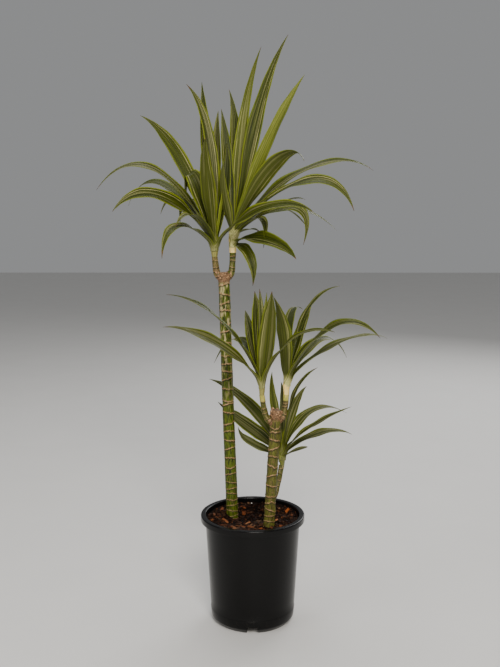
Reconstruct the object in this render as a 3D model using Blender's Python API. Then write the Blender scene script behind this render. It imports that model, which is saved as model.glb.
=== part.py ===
"""Potted dragon tree: two canes cut at the top, five striped leaf heads, and a black pot of soil.

Metres, +Z up. The pot stands on z = 0 with its front towards -Y. The plant is worked out
from the pot axis, and at the end everything is moved so that the middle of its outline,
seen from above, is the origin.
"""
import math
import random

import bmesh
import bpy
from mathutils import Vector

CM = 0.01
BOX_FACES = [(0, 1, 2, 3), (4, 5, 6, 7), (0, 1, 5, 4), (1, 2, 6, 5), (2, 3, 7, 6), (3, 0, 4, 7)]
UP = Vector((0.0, 0.0, 1.0))
FRONT = Vector((0.0, -1.0, 0.0))

# Space between pieces that touch on the real thing
GAP = 0.0003

# How far one body sinks into another before they are joined, or a cutter reaches past a face
SINK = 0.0020

# Pot
POT_SIDES = 40
POT_HEIGHT = 0.2323
RIM_RADIUS = 0.110
BODY_TOP_RADIUS = 0.1010
BODY_FOOT_RADIUS = 0.0883
FOOT_RADIUS = 0.0795
FOOT_HEIGHT = 0.011
FOOT_WIDTH = 0.004
FOOT_STEP = 0.001
WALL = 0.0022
PLATE_HEIGHT = 0.0170
SKIRT_HEIGHT = 0.0130
SKIRT_WALL = 0.0018
LIP_ROUND = 0.0018
LEDGE_HEIGHT = 0.029
LEDGE_DEPTH = 0.0006
LEDGE_RUN = 0.0012
NOTCH_COUNT = 4
NOTCH_TOP_WIDTH = 0.019
NOTCH_FOOT_WIDTH = 0.025
NOTCH_HEIGHT = 0.0150
CHANNEL_WALL = 0.0022
CHANNEL_INNER_RADIUS = 0.050
DRAIN_RADIUS = 0.006
DRAIN_CIRCLE = 0.058
DRAIN_SIDES = 6

# Potting mix, which lies like a bowl with a hollow between the canes. MIX_RINGS are parts of its radius
MIX_SIDES = 30
MIX_RINGS = (0.20, 0.40, 0.60, 0.80, 1.0)
MIX_TOP = 0.2245
MIX_BOWL = 0.013
MIX_RELIEF = 0.0022
HOLLOW_PLACE = (-0.006, 0.038)
HOLLOW_RADIUS = 0.042
HOLLOW_DEPTH = 0.012
CHIP_COUNT = 24
CHIP_SEED = 11
CHIP_EDGE_SPACE = 0.013
CHIP_CANE_SPACE = 0.024
CHIP_SHORTEST = 0.007
CHIP_SPREAD = 0.009
CHIP_THINNEST = 0.0028
CHIP_THICK_SPREAD = 0.0020
CHIP_LIFT = 0.0004
CHIP_OUTLINE = ((-0.5, -0.35), (0.35, -0.5), (0.5, 0.3), (-0.3, 0.5))

# Canes, as points along the middle from the buried foot to the cut top
CANE_SIDES = 10
CANE_RELIEF = 0.0006
CANE_TAPER = 0.11
SCAR_SPACING = 0.0160
SCAR_WIDTH = 0.0028
SCAR_TILT = 0.0010
FOOT_BEVEL = 0.004
COLLAR_BULGE = 0.0014
COLLAR_HEIGHT = 0.015
COLLAR_TILT = 0.0004
TALL_RADIUS = 0.0134
TALL_PATH = ((-4.4, 3.7, 14.6), (-4.5, 4.4, 24.0), (-5.3, 6.0, 46.0), (-6.1, 6.5, 73.9))
SHORT_RADIUS = 0.0122
SHORT_PATH = ((3.3, -2.2, 16.4), (3.5, -2.1, 22.0), (4.1, -1.5, 33.0), (4.9, -1.0, 45.9))
HOLE_SPACE = 0.0005
HOLE_SIDES = 24
HOLE_STEPS = (0.0, 0.15, 0.30, 0.45)

# Woody side stems: path in centimetres, radius at the foot, radius at the end
STEM_SIDES = 8
STEM_STEPS = (0.0, 0.24, 0.40, 0.54, 0.68, 0.84, 1.0)
STEM_RELIEF = 0.0004
STEM_SWELL = 0.0010
STEM_A = (((-6.3, 6.4, 72.3), (-7.4, 6.3, 73.6), (-7.8, 6.2, 75.3), (-8.0, 6.0, 77.2)), 0.0082, 0.0078)
STEM_B = (((-5.7, 6.6, 72.3), (-4.6, 6.7, 73.7), (-4.3, 6.8, 75.6), (-4.2, 7.0, 78.0)), 0.0080, 0.0074)
STEM_C = (((4.3, -1.2, 43.0), (3.0, -1.5, 44.4), (2.3, -1.9, 46.6), (1.9, -2.0, 49.3)), 0.0066, 0.0058)
STEM_D = (((5.2, -1.0, 43.2), (6.3, -0.6, 44.6), (6.8, -0.2, 46.6), (7.0, 0.0, 49.0)), 0.0062, 0.0058)
STEM_E = (((4.1, -1.2, 26.6), (4.9, 0.3, 27.8), (5.6, 1.5, 30.2), (6.2, 2.4, 33.0)), 0.0064, 0.0060)

# Leaf blades
BLADE_THICK = 0.0008
FOOT_THICKER = 0.5
BLADE_STATIONS = (0.0, 0.13, 0.27, 0.42, 0.57, 0.72, 0.87, 1.0)
WIDTH_CURVE = ((0.0, 0.54), (0.10, 0.54), (0.22, 0.68), (0.42, 1.0), (0.58, 0.98), (0.76, 0.76),
               (0.90, 0.40), (0.97, 0.15), (1.0, 0.05))
FOLD_AT_FOOT = 26.0
FOLD_AT_TIP = 10.0
WAVES_ALONG = 19.0
WAVE_SHIFT = 2.2
SHOOT_SIDES = 8
SHOOT_SWELLS = (1.0, 1.0, 1.12, 1.45, 1.05, 0.25)

# Each row: middle of the leaf and its tip, in centimetres right, back and up from the foot of
# the head, the width in centimetres, how far the upper face turns to the front at the middle
# and at the tip in degrees, and the height of the waves of its edges in millimetres.
LEAVES_TALL_LEFT = (
    ((-5.9, 5.0, 16.0), (-16.5, 12.0, 28.0), 3.2, 60, 50, 1.5),
    ((-9.5, -1.0, 14.5), (-24.0, -3.0, 12.0), 3.0, 28, 25, 1.5),
    ((-3.5, -2.5, 13.5), (-6.5, 8.0, 8.0), 3.3, 0, 0, 1.0),
    ((-8.0, -8.0, 10.0), (-19.0, -15.0, 8.0), 3.3, 62, 55, 1.5),
    ((-9.0, 6.0, 12.0), (-19.5, 12.0, 8.5), 2.8, 20, 30, 1.0),
    ((-6.0, 8.0, 9.0), (-13.0, 18.0, 6.5), 2.6, 10, 10, 1.0),
    ((-5.0, 11.0, 9.0), (-8.5, 17.0, 4.0), 2.6, 10, 10, 1.0),
    ((-5.5, -7.0, 5.0), (-9.5, -16.0, -1.0), 2.8, 20, 20, 1.0),
    ((-3.0, -7.0, 6.5), (-7.0, -14.0, 5.0), 2.6, 10, 10, 1.0),
    ((-1.0, -6.0, 12.5), (-1.0, -14.0, 22.0), 3.1, 0, 0, 1.0),
    ((-0.5, 3.0, 18.0), (-6.0, 6.0, 34.0), 2.8, 30, 40, 1.5),
    ((-1.5, 6.0, 18.0), (-3.0, 11.0, 35.0), 2.8, 20, 30, 1.0),
    ((0.0, 6.0, 16.0), (0.5, 12.0, 29.0), 2.4, 0, 0, 1.0),
    ((8.5, -10.0, 8.0), (19.5, -17.0, 8.0), 3.1, 52, 45, 1.5),
    ((0.8, 0.3, 9.0), (1.5, 0.0, 13.5), 1.5, 0, 0, 0.3),
    ((1.2, 1.0, 12.0), (2.0, 3.5, 21.0), 2.4, 0, 0, 0.8),
)
LEAVES_TALL_RIGHT = (
    ((-1.0, 3.0, 15.0), (-2.5, 6.0, 28.0), 2.6, 10, 10, 1.0),
    ((4.0, 2.0, 21.5), (11.5, 3.0, 42.7), 3.2, 60, 60, 2.0),
    ((1.5, 5.0, 20.5), (6.0, 10.0, 41.3), 2.6, 20, 75, 1.5),
    ((6.0, -3.0, 18.0), (14.5, -6.0, 33.7), 2.6, -50, -60, 2.0),
    ((0.5, 7.0, 17.5), (-1.0, 13.0, 32.7), 2.8, 0, 10, 1.0),
    ((7.0, -7.0, 14.5), (14.0, -16.0, 16.5), 3.5, -40, -20, 1.0),
    ((12.5, 0.0, 13.9), (29.0, -2.0, 15.0), 3.1, 30, 20, 2.0),
    ((11.8, -6.0, 12.0), (24.0, -13.0, 7.0), 3.3, 30, 60, 1.5),
    ((9.0, 7.0, 7.0), (23.0, 13.0, 2.0), 2.9, 30, 30, 1.0),
    ((7.0, 9.0, 7.0), (17.0, 18.0, 2.0), 2.8, 10, 10, 1.0),
    ((10.0, -4.0, 7.5), (14.5, -6.0, 0.0), 2.6, 30, 60, 1.0),
    ((4.5, -4.0, 5.5), (6.3, -9.0, -0.5), 2.6, 0, 0, 1.0),
    ((7.5, -1.0, 7.5), (15.0, -3.0, 9.0), 2.6, 10, 10, 1.0),
    ((6.5, -9.0, 1.5), (12.5, -18.0, -2.0), 3.1, 50, 50, 1.0),
    ((3.0, -4.0, -1.5), (4.2, -5.0, -8.5), 2.6, 30, 30, 0.8),
    ((3.5, -1.0, 3.0), (5.5, -3.0, 1.0), 1.6, 0, 0, 0.5),
    ((4.0, -4.0, 7.0), (8.5, -9.0, 10.0), 2.4, 20, 20, 0.5),
    ((-0.9, -2.8, 9.5), (-1.4, -5.5, 17.0), 2.2, 0, 0, 0.5),
)
LEAVES_SHORT_LEFT = (
    ((-6.5, -6.0, 13.2), (-18.5, -10.0, 20.5), 2.7, 25, 20, 1.5),
    ((-8.0, -7.0, 10.1), (-19.0, -12.0, 14.5), 3.1, 52, 15, 1.5),
    ((-3.5, 8.0, 8.0), (-10.5, 17.0, 2.0), 2.6, 10, 10, 1.0),
    ((0.5, -3.0, 10.5), (1.5, -9.0, 21.0), 3.0, 0, 0, 1.0),
    ((-0.6, 4.0, 10.5), (-1.5, 9.0, 19.0), 3.0, 0, 0, 1.0),
    ((-1.7, 5.0, 8.5), (-3.5, 12.0, 14.5), 2.9, 0, 0, 1.0),
    ((0.0, 2.0, 10.0), (-0.5, 5.0, 20.0), 2.2, 0, 0, 0.8),
    ((0.5, 1.0, 9.5), (1.0, 3.0, 19.5), 2.0, 0, 0, 0.5),
    ((4.5, -8.0, 10.5), (13.5, -15.0, 14.0), 2.9, 30, 20, 1.0),
)
LEAVES_SHORT_RIGHT = (
    ((-0.5, -3.0, 10.0), (-3.0, -8.0, 19.5), 3.0, 10, 20, 1.0),
    ((2.7, -1.0, 12.6), (10.5, -3.0, 21.0), 2.4, 30, 30, 1.0),
    ((2.5, 5.0, 9.0), (6.0, 11.0, 16.5), 2.6, 0, 0, 1.0),
    ((0.5, 6.0, 11.0), (4.0, 14.0, 14.0), 2.4, 0, 0, 1.0),
    ((6.8, -7.0, 12.2), (17.5, -13.0, 12.0), 3.2, 30, 20, 1.5),
    ((9.5, 2.0, 8.0), (21.5, 5.0, 9.0), 2.5, 5, 10, 1.5),
    ((6.0, 8.0, 7.5), (14.0, 15.0, 3.0), 2.6, 20, 20, 1.0),
)
LEAVES_LOW = (
    ((1.5, -2.0, 11.0), (7.0, -5.0, 20.0), 2.7, 40, 50, 1.0),
    ((2.0, 3.0, 8.0), (5.5, 7.0, 13.5), 2.2, 10, 20, 0.8),
    ((4.5, 4.0, 7.4), (14.5, 9.0, 7.0), 2.4, 20, 20, 1.0),
    ((5.5, -5.0, 7.5), (13.5, -10.0, 13.0), 2.5, 30, 20, 1.0),
    ((6.5, 1.0, 4.2), (15.0, 2.0, 4.0), 2.4, 20, 20, 1.0),
    ((2.8, -3.0, 2.0), (5.0, -6.0, 3.5), 2.2, 20, 20, 0.0),
    ((-6.0, 6.5, 8.5), (-16.0, 12.0, 14.0), 2.9, 40, 30, 1.0),
    ((-6.0, 4.5, 4.4), (-14.0, 9.0, 9.5), 3.2, 50, 40, 1.0),
    ((-5.5, 2.2, 1.6), (-9.4, 3.4, 5.3), 2.2, 30, 30, 0.8),
    ((-1.5, 3.5, 9.0), (-2.1, 5.5, 17.0), 2.0, 0, 0, 0.5),
    ((0.3, 3.0, 8.0), (-0.2, 4.5, 15.0), 1.9, 0, 0, 0.5),
)

# Heads: name, point that the leaf rows are measured from, length of shoot below that point,
# lowest and highest leaf foot from it, all in centimetres, radius of the shoot, leaves
HEADS = (
    ("head_tall_left", (-8.0, 6.0, 79.0), 1.8, (-1.3, 1.1), 0.0078, LEAVES_TALL_LEFT),
    ("head_tall_right", (-4.2, 7.0, 80.0), 2.0, (-0.4, 2.0), 0.0072, LEAVES_TALL_RIGHT),
    ("head_short_left", (1.9, -2.0, 50.8), 1.5, (-0.8, 1.0), 0.0056, LEAVES_SHORT_LEFT),
    ("head_short_right", (7.0, 0.0, 51.0), 2.0, (-1.0, 1.0), 0.0058, LEAVES_SHORT_RIGHT),
    ("head_low", (6.3, 2.5, 35.2), 2.2, (-1.7, 1.0), 0.0060, LEAVES_LOW),
)
CROWN_TOP = 0.016


def clear_scene():
    for item in list(bpy.data.objects):
        bpy.data.objects.remove(item, do_unlink=True)


def make_material(name, colour, roughness):
    material = bpy.data.materials.new(name)
    material.use_nodes = True
    shader = material.node_tree.nodes["Principled BSDF"]
    shader.inputs["Base Color"].default_value = (*colour, 1.0)
    shader.inputs["Roughness"].default_value = roughness
    return material


def make_object(name, vertices, faces, smooth=False):
    mesh = bpy.data.meshes.new(name)
    mesh.from_pydata([tuple(v) for v in vertices], [], faces)
    mesh.validate()
    body = bmesh.new()
    body.from_mesh(mesh)
    bmesh.ops.triangulate(body, faces=body.faces)
    bmesh.ops.recalc_face_normals(body, faces=body.faces)
    body.to_mesh(mesh)
    body.free()
    item = bpy.data.objects.new(name, mesh)
    bpy.context.scene.collection.objects.link(item)
    for polygon in mesh.polygons:
        polygon.use_smooth = smooth
    return item


def apply_modifiers(item):
    graph = bpy.context.evaluated_depsgraph_get()
    mesh = bpy.data.meshes.new_from_object(item.evaluated_get(graph))
    item.modifiers.clear()
    old = item.data
    item.data = mesh
    bpy.data.meshes.remove(old)


def boolean(item, others, operation):
    """Join or cut item with every object of the list, in one step, then drop them."""
    group = bpy.data.collections.new("boolean_group")
    bpy.context.scene.collection.children.link(group)
    for other in others:
        for holder in list(other.users_collection):
            holder.objects.unlink(other)
        group.objects.link(other)
        other.hide_render = True
        other.display_type = "WIRE"
    step = item.modifiers.new("boolean_step", "BOOLEAN")
    step.operation = operation
    step.operand_type = "COLLECTION"
    step.collection = group
    step.solver = "EXACT"
    apply_modifiers(item)
    for other in others:
        bpy.data.objects.remove(other, do_unlink=True)
    bpy.data.collections.remove(group)


def clean_mesh(item, merge=0.000001):
    """Weld close vertices, split into triangles and keep the largest loose shell."""
    body = bmesh.new()
    body.from_mesh(item.data)
    bmesh.ops.remove_doubles(body, verts=body.verts, dist=merge)
    bmesh.ops.dissolve_degenerate(body, edges=body.edges, dist=merge)
    bmesh.ops.triangulate(body, faces=body.faces)
    shells = []
    left = set(body.faces)
    while left:
        seed = next(iter(left))
        left.discard(seed)
        shell = [seed]
        stack = [seed]
        while stack:
            face = stack.pop()
            for edge in face.edges:
                for other in edge.link_faces:
                    if other in left:
                        left.discard(other)
                        shell.append(other)
                        stack.append(other)
        shells.append(shell)
    shells.sort(key=len, reverse=True)
    scraps = [face for shell in shells[1:] for face in shell]
    if scraps:
        bmesh.ops.delete(body, geom=scraps, context="FACES")
    loose = [v for v in body.verts if not v.link_faces]
    if loose:
        bmesh.ops.delete(body, geom=loose, context="VERTS")
    bmesh.ops.recalc_face_normals(body, faces=body.faces)
    body.to_mesh(item.data)
    body.free()


def turned(name, profile, sides):
    """Turn a profile of (radius, height) points around the pot axis, with a flat disc on each end."""
    vertices = []
    faces = []
    count = len(profile)
    for i in range(sides):
        angle = 2.0 * math.pi * i / sides
        for radius, height in profile:
            vertices.append((radius * math.cos(angle), radius * math.sin(angle), height))
    for i in range(sides):
        a = i * count
        b = ((i + 1) % sides) * count
        for j in range(count - 1):
            faces.append((a + j, b + j, b + j + 1, a + j + 1))
    faces.append(tuple(i * count for i in range(sides)))
    faces.append(tuple(i * count + count - 1 for i in range(sides)))
    return make_object(name, vertices, faces)


def arc(centre_radius, centre_height, radius, start, stop, steps):
    """Points of an arc in the profile plane, angles in degrees."""
    points = []
    for i in range(steps + 1):
        angle = math.radians(start + (stop - start) * i / steps)
        points.append((centre_radius + radius * math.cos(angle), centre_height + radius * math.sin(angle)))
    return points


def wall_radius(height):
    """Outer radius of the pot body at a height."""
    part = (height - FOOT_HEIGHT) / (POT_HEIGHT - FOOT_HEIGHT)
    return BODY_FOOT_RADIUS + (BODY_TOP_RADIUS - BODY_FOOT_RADIUS) * part


def build_pot():
    inner_top = wall_radius(POT_HEIGHT) - WALL
    skirt_inner = RIM_RADIUS - SKIRT_WALL
    skirt_foot = POT_HEIGHT - SKIRT_HEIGHT
    under_lip = POT_HEIGHT - WALL
    plate_top = PLATE_HEIGHT + WALL
    profile = [
        (BODY_FOOT_RADIUS - FOOT_WIDTH, PLATE_HEIGHT),
        (BODY_FOOT_RADIUS - FOOT_STEP - FOOT_WIDTH, FOOT_HEIGHT),
        (FOOT_RADIUS - FOOT_WIDTH, 0.0),
        (FOOT_RADIUS, 0.0),
        (BODY_FOOT_RADIUS - FOOT_STEP, FOOT_HEIGHT - FOOT_STEP),
        (wall_radius(FOOT_HEIGHT + 2.0 * FOOT_STEP), FOOT_HEIGHT + 2.0 * FOOT_STEP),
        (wall_radius(LEDGE_HEIGHT) + LEDGE_DEPTH, LEDGE_HEIGHT),
        (wall_radius(LEDGE_HEIGHT), LEDGE_HEIGHT + LEDGE_RUN),
        (wall_radius(under_lip), under_lip),
        (skirt_inner, under_lip),
        (skirt_inner, skirt_foot),
        (RIM_RADIUS, skirt_foot),
    ]
    profile += arc(RIM_RADIUS - LIP_ROUND, POT_HEIGHT - LIP_ROUND, LIP_ROUND, 0.0, 90.0, 2)
    profile += arc(inner_top + LIP_ROUND, POT_HEIGHT - LIP_ROUND, LIP_ROUND, 90.0, 180.0, 2)
    profile.append((wall_radius(plate_top) - WALL, plate_top))
    pot = turned("pot", profile, POT_SIDES)
    cutters = []
    walls = []
    for i in range(NOTCH_COUNT):
        angle = -math.pi / 2.0 + 2.0 * math.pi * i / NOTCH_COUNT
        out = Vector((math.cos(angle), math.sin(angle), 0.0))
        side = Vector((-math.sin(angle), math.cos(angle), 0.0))
        section = ((-NOTCH_FOOT_WIDTH / 2.0, -SINK), (NOTCH_FOOT_WIDTH / 2.0, -SINK),
                   (NOTCH_TOP_WIDTH / 2.0, NOTCH_HEIGHT), (-NOTCH_TOP_WIDTH / 2.0, NOTCH_HEIGHT))
        vertices = []
        for reach in (DRAIN_CIRCLE + SINK, BODY_FOOT_RADIUS + FOOT_HEIGHT):
            for across, height in section:
                vertices.append(out * reach + side * across + UP * height)
        cutters.append(make_object("notch_cutter", vertices, BOX_FACES))
        for way in (-1.0, 1.0):
            walls.append(channel_wall(out, side * way))
        cutters.append(drain_cutter(out * DRAIN_CIRCLE))
    cutters.append(drain_cutter(Vector((0.0, 0.0, 0.0))))
    boolean(pot, walls, "UNION")
    boolean(pot, cutters, "DIFFERENCE")
    clean_mesh(pot)
    return pot


def channel_wall(out, side):
    """Upright wall under the base plate that runs inward from one edge of a notch."""
    vertices = []
    for reach in (CHANNEL_INNER_RADIUS, FOOT_RADIUS - SINK):
        for across, height in ((0.0, 0.0), (CHANNEL_WALL, 0.0), (CHANNEL_WALL, 1.0), (0.0, 1.0)):
            edge = (NOTCH_FOOT_WIDTH if height == 0.0 else NOTCH_TOP_WIDTH) / 2.0
            rise = UP * (PLATE_HEIGHT + WALL / 2.0) * height
            vertices.append(out * reach + side * (edge + across - GAP) + rise)
    return make_object("channel_wall", vertices, BOX_FACES)


def drain_cutter(centre):
    """Upright rod for one drain hole in the base plate."""
    vertices = []
    for height in (PLATE_HEIGHT - SINK, PLATE_HEIGHT + WALL + SINK):
        for i in range(DRAIN_SIDES):
            angle = 2.0 * math.pi * (i + 0.5) / DRAIN_SIDES
            spot = Vector((math.cos(angle), math.sin(angle), 0.0)) * DRAIN_RADIUS
            vertices.append(centre + spot + UP * height)
    faces = [tuple(range(DRAIN_SIDES)), tuple(range(DRAIN_SIDES, 2 * DRAIN_SIDES))]
    for i in range(DRAIN_SIDES):
        k = (i + 1) % DRAIN_SIDES
        faces.append((i, k, DRAIN_SIDES + k, DRAIN_SIDES + i))
    return make_object("drain_cutter", vertices, faces)


def mix_height(x, y):
    """Height of the surface of the potting mix, a shallow uneven bowl with a hollow in it."""
    inner = wall_radius(MIX_TOP) - WALL
    bowl = MIX_BOWL * (1.0 - (x * x + y * y) / (inner * inner))
    away = math.hypot(x - HOLLOW_PLACE[0], y - HOLLOW_PLACE[1]) / HOLLOW_RADIUS
    waves = math.sin(61.0 * x + 17.0 * y + 0.6) * math.sin(53.0 * y - 23.0 * x + 1.1)
    small = 0.4 * math.sin(160.0 * x + 2.0) * math.sin(140.0 * y + 0.5)
    return MIX_TOP - bowl - HOLLOW_DEPTH * math.exp(-away * away) + MIX_RELIEF * (waves + small)


def build_mix():
    low = PLATE_HEIGHT + WALL + GAP
    outer = wall_radius(MIX_TOP) - WALL - 2.0 * GAP
    floor_radius = wall_radius(low) - WALL - 2.0 * GAP
    vertices = [(0.0, 0.0, mix_height(0.0, 0.0))]
    for part in MIX_RINGS:
        for i in range(MIX_SIDES):
            angle = 2.0 * math.pi * i / MIX_SIDES
            x = outer * part * math.cos(angle)
            y = outer * part * math.sin(angle)
            height = MIX_TOP if part == 1.0 else mix_height(x, y)
            vertices.append((x, y, height))
    for i in range(MIX_SIDES):
        angle = 2.0 * math.pi * i / MIX_SIDES
        vertices.append((floor_radius * math.cos(angle), floor_radius * math.sin(angle), low))
    faces = []
    for i in range(MIX_SIDES):
        k = (i + 1) % MIX_SIDES
        faces.append((0, 1 + i, 1 + k))
        for ring in range(len(MIX_RINGS)):
            a = 1 + ring * MIX_SIDES
            b = a + MIX_SIDES
            faces.append((a + i, b + i, b + k))
            faces.append((a + i, b + k, a + k))
    last = 1 + len(MIX_RINGS) * MIX_SIDES
    faces.append(tuple(last + i for i in range(MIX_SIDES)))
    mix = make_object("potting_mix", vertices, faces)
    chance = random.Random(CHIP_SEED)
    chips = []
    stand = (Vector(TALL_PATH[1]) * CM, Vector(SHORT_PATH[1]) * CM)
    while len(chips) < CHIP_COUNT:
        distance = (outer - CHIP_EDGE_SPACE) * math.sqrt(chance.random())
        angle = 2.0 * math.pi * chance.random()
        x = distance * math.cos(angle)
        y = distance * math.sin(angle)
        if any(math.hypot(x - p.x, y - p.y) < CHIP_CANE_SPACE for p in stand):
            continue
        chips.append(bark_chip(chance, x, y))
    boolean(mix, chips, "UNION")
    holes = []
    for path, radius in ((TALL_PATH, TALL_RADIUS), (SHORT_PATH, SHORT_RADIUS)):
        holes.append(cane_hole(path, radius))
    boolean(mix, holes, "DIFFERENCE")
    clean_mesh(mix)
    return mix


def bark_chip(chance, x, y):
    """A flat chip of bark that lies in the surface at its own tilt."""
    turn = 2.0 * math.pi * chance.random()
    length = CHIP_SHORTEST + CHIP_SPREAD * chance.random()
    width = length * (0.35 + 0.30 * chance.random())
    thick = CHIP_THINNEST + CHIP_THICK_SPREAD * chance.random()
    along = Vector((math.cos(turn), math.sin(turn), 0.5 * (chance.random() - 0.5))).normalized()
    across = UP.cross(along).normalized()
    normal = (along.cross(across) + across * 0.5 * (chance.random() - 0.5)).normalized()
    across = normal.cross(along).normalized()
    centre = Vector((x, y, mix_height(x, y) + CHIP_LIFT))
    vertices = []
    for level in (-0.5, 0.5):
        for a, b in CHIP_OUTLINE:
            vertices.append(centre + along * a * length + across * b * width + normal * level * thick)
    return make_object("bark_chip", vertices, BOX_FACES)


def through_points(points, part):
    """Smooth path through four points, part 0 to 1."""
    spans = len(points) - 1
    place = min(max(part, 0.0), 1.0) * spans
    index = min(int(place), spans - 1)
    u = place - index
    p1 = points[index]
    p2 = points[index + 1]
    p0 = points[index - 1] if index > 0 else p1 * 2.0 - p2
    p3 = points[index + 2] if index + 2 <= spans else p2 * 2.0 - p1
    return 0.5 * ((2.0 * p1) + (p2 - p0) * u + (2.0 * p0 - 5.0 * p1 + 4.0 * p2 - p3) * u * u
                  + (3.0 * p1 - p0 - 3.0 * p2 + p3) * u * u * u)


def tube(name, centres, radii, sides, tilts=None, level=()):
    """Closed tube with one ring of vertices for each centre.

    tilts makes the rings wavy, and the rings listed in level lie level.
    """
    vertices = []
    count = len(centres)
    for i in range(count):
        before = centres[max(i - 1, 0)]
        after = centres[min(i + 1, count - 1)]
        along = UP if i in level else (after - before).normalized()
        side = along.cross(Vector((0.0, 1.0, 0.0))).normalized()
        other = along.cross(side).normalized()
        tilt, phase = tilts[i] if tilts else (0.0, 0.0)
        for j in range(sides):
            angle = 2.0 * math.pi * j / sides
            lift = tilt * math.sin(angle + phase) + 0.4 * tilt * math.sin(3.0 * angle + 2.0 * phase)
            spot = centres[i] + (side * math.cos(angle) + other * math.sin(angle)) * radii[i]
            vertices.append(spot + along * lift)
    faces = []
    for i in range(count - 1):
        for j in range(sides):
            k = (j + 1) % sides
            a = i * sides
            b = a + sides
            faces.append((a + j, a + k, b + k, b + j))
    faces.append(tuple(range(sides)))
    faces.append(tuple(range((count - 1) * sides, count * sides)))
    return make_object(name, vertices, faces)


def cane_hole(path, radius):
    """Plain round hole for a cane, from below its foot to above the surface."""
    points = [Vector(p) * CM for p in path]
    centres = [through_points(points, s) for s in HOLE_STEPS]
    centres[0] = centres[0] - (centres[1] - centres[0]).normalized() * HOLE_SPACE
    wide = radius + CANE_RELIEF + HOLE_SPACE
    return tube("hole_cutter", centres, [wide] * len(HOLE_STEPS), HOLE_SIDES)


def build_cane(name, path, radius, seed, stems):
    """Cane with leaf scars as low rings, a swollen cut top and its woody side stems.

    Each place along it is a distance, what is added to the radius, and the tilt and phase of the ring.
    """
    points = [Vector(p) * CM for p in path]
    length = sum((points[i + 1] - points[i]).length for i in range(3))
    chance = random.Random(seed)
    places = [(0.0, -CANE_RELIEF, 0.0, 0.0), (FOOT_BEVEL, 0.0, 0.0, 0.0)]
    distance = mix_height(points[1].x, points[1].y) - points[0].z
    while distance < length - COLLAR_HEIGHT - 2.0 * SCAR_WIDTH:
        phase = 2.0 * math.pi * chance.random()
        tilt = SCAR_TILT * (0.6 + 0.6 * chance.random())
        places.append((distance, -CANE_RELIEF, tilt, phase))
        places.append((distance + SCAR_WIDTH, CANE_RELIEF, tilt, phase))
        distance += SCAR_SPACING * (0.75 + 0.5 * chance.random())
    places.append((length - COLLAR_HEIGHT, 0.0, 0.0, 0.0))
    places.append((length - COLLAR_HEIGHT * 0.62, COLLAR_BULGE, COLLAR_TILT, 1.0))
    places.append((length - COLLAR_HEIGHT * 0.20, COLLAR_BULGE * 0.9, COLLAR_TILT, 2.0))
    places.append((length, -COLLAR_BULGE, COLLAR_TILT, 3.0))
    centres = [through_points(points, p[0] / length) for p in places]
    radii = [radius * (1.0 - CANE_TAPER * p[0] / length) + p[1] for p in places]
    tilts = [(p[2], p[3]) for p in places]
    cane = tube(name, centres, radii, CANE_SIDES, tilts)
    parts = []
    for stem_path, foot_radius, end_radius in stems:
        stem_points = [Vector(p) * CM for p in stem_path]
        stem_centres = [through_points(stem_points, m) for m in STEM_STEPS]
        stem_radii = []
        for i, mark in enumerate(STEM_STEPS):
            bump = STEM_RELIEF * (i % 2) + STEM_SWELL * max(0.0, 1.0 - abs(mark - STEM_STEPS[1]) * 5.0)
            stem_radii.append(foot_radius + (end_radius - foot_radius) * mark + bump)
        parts.append(tube("side_stem", stem_centres, stem_radii, STEM_SIDES, level=(len(STEM_STEPS) - 1,)))
    boolean(cane, parts, "UNION")
    clean_mesh(cane)
    return cane


def width_at(part):
    for (a, wa), (b, wb) in zip(WIDTH_CURVE, WIDTH_CURVE[1:]):
        if part <= b:
            return wa + (wb - wa) * (part - a) / (b - a)
    return WIDTH_CURVE[-1][1]


def leaf_path(foot, start, middle, tip):
    """Cubic path that leaves the foot along start and passes the middle and the tip."""
    speed = (middle - foot).length * 1.5
    to_middle = middle - foot - start * speed * 0.5
    to_tip = tip - foot - start * speed
    third = (to_tip - to_middle * 4.0) * 2.0
    second = to_tip - third

    def at(t):
        return foot + start * speed * t + second * t * t + third * t * t * t

    return at


def leaf_frame(at, t, side_start, turn_middle, turn_tip):
    """Place, direction, width direction and upper side of the blade at part t."""
    step = 0.004
    along = (at(min(t + step, 1.0)) - at(max(t - step, 0.0))).normalized()
    side = (side_start - along * side_start.dot(along)).normalized()
    upper = along.cross(side).normalized()
    if t < 0.5:
        ease = t / 0.5
        turn = turn_middle * ease * ease * (3.0 - 2.0 * ease)
    else:
        turn = turn_middle + (turn_tip - turn_middle) * (t - 0.5) / 0.5
    way = 1.0 if side.dot(FRONT) >= 0.0 else -1.0
    angle = math.radians(turn) * way
    new_upper = upper * math.cos(angle) + side * math.sin(angle)
    new_side = side * math.cos(angle) - upper * math.sin(angle)
    return at(t), along, new_side, new_upper


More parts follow.
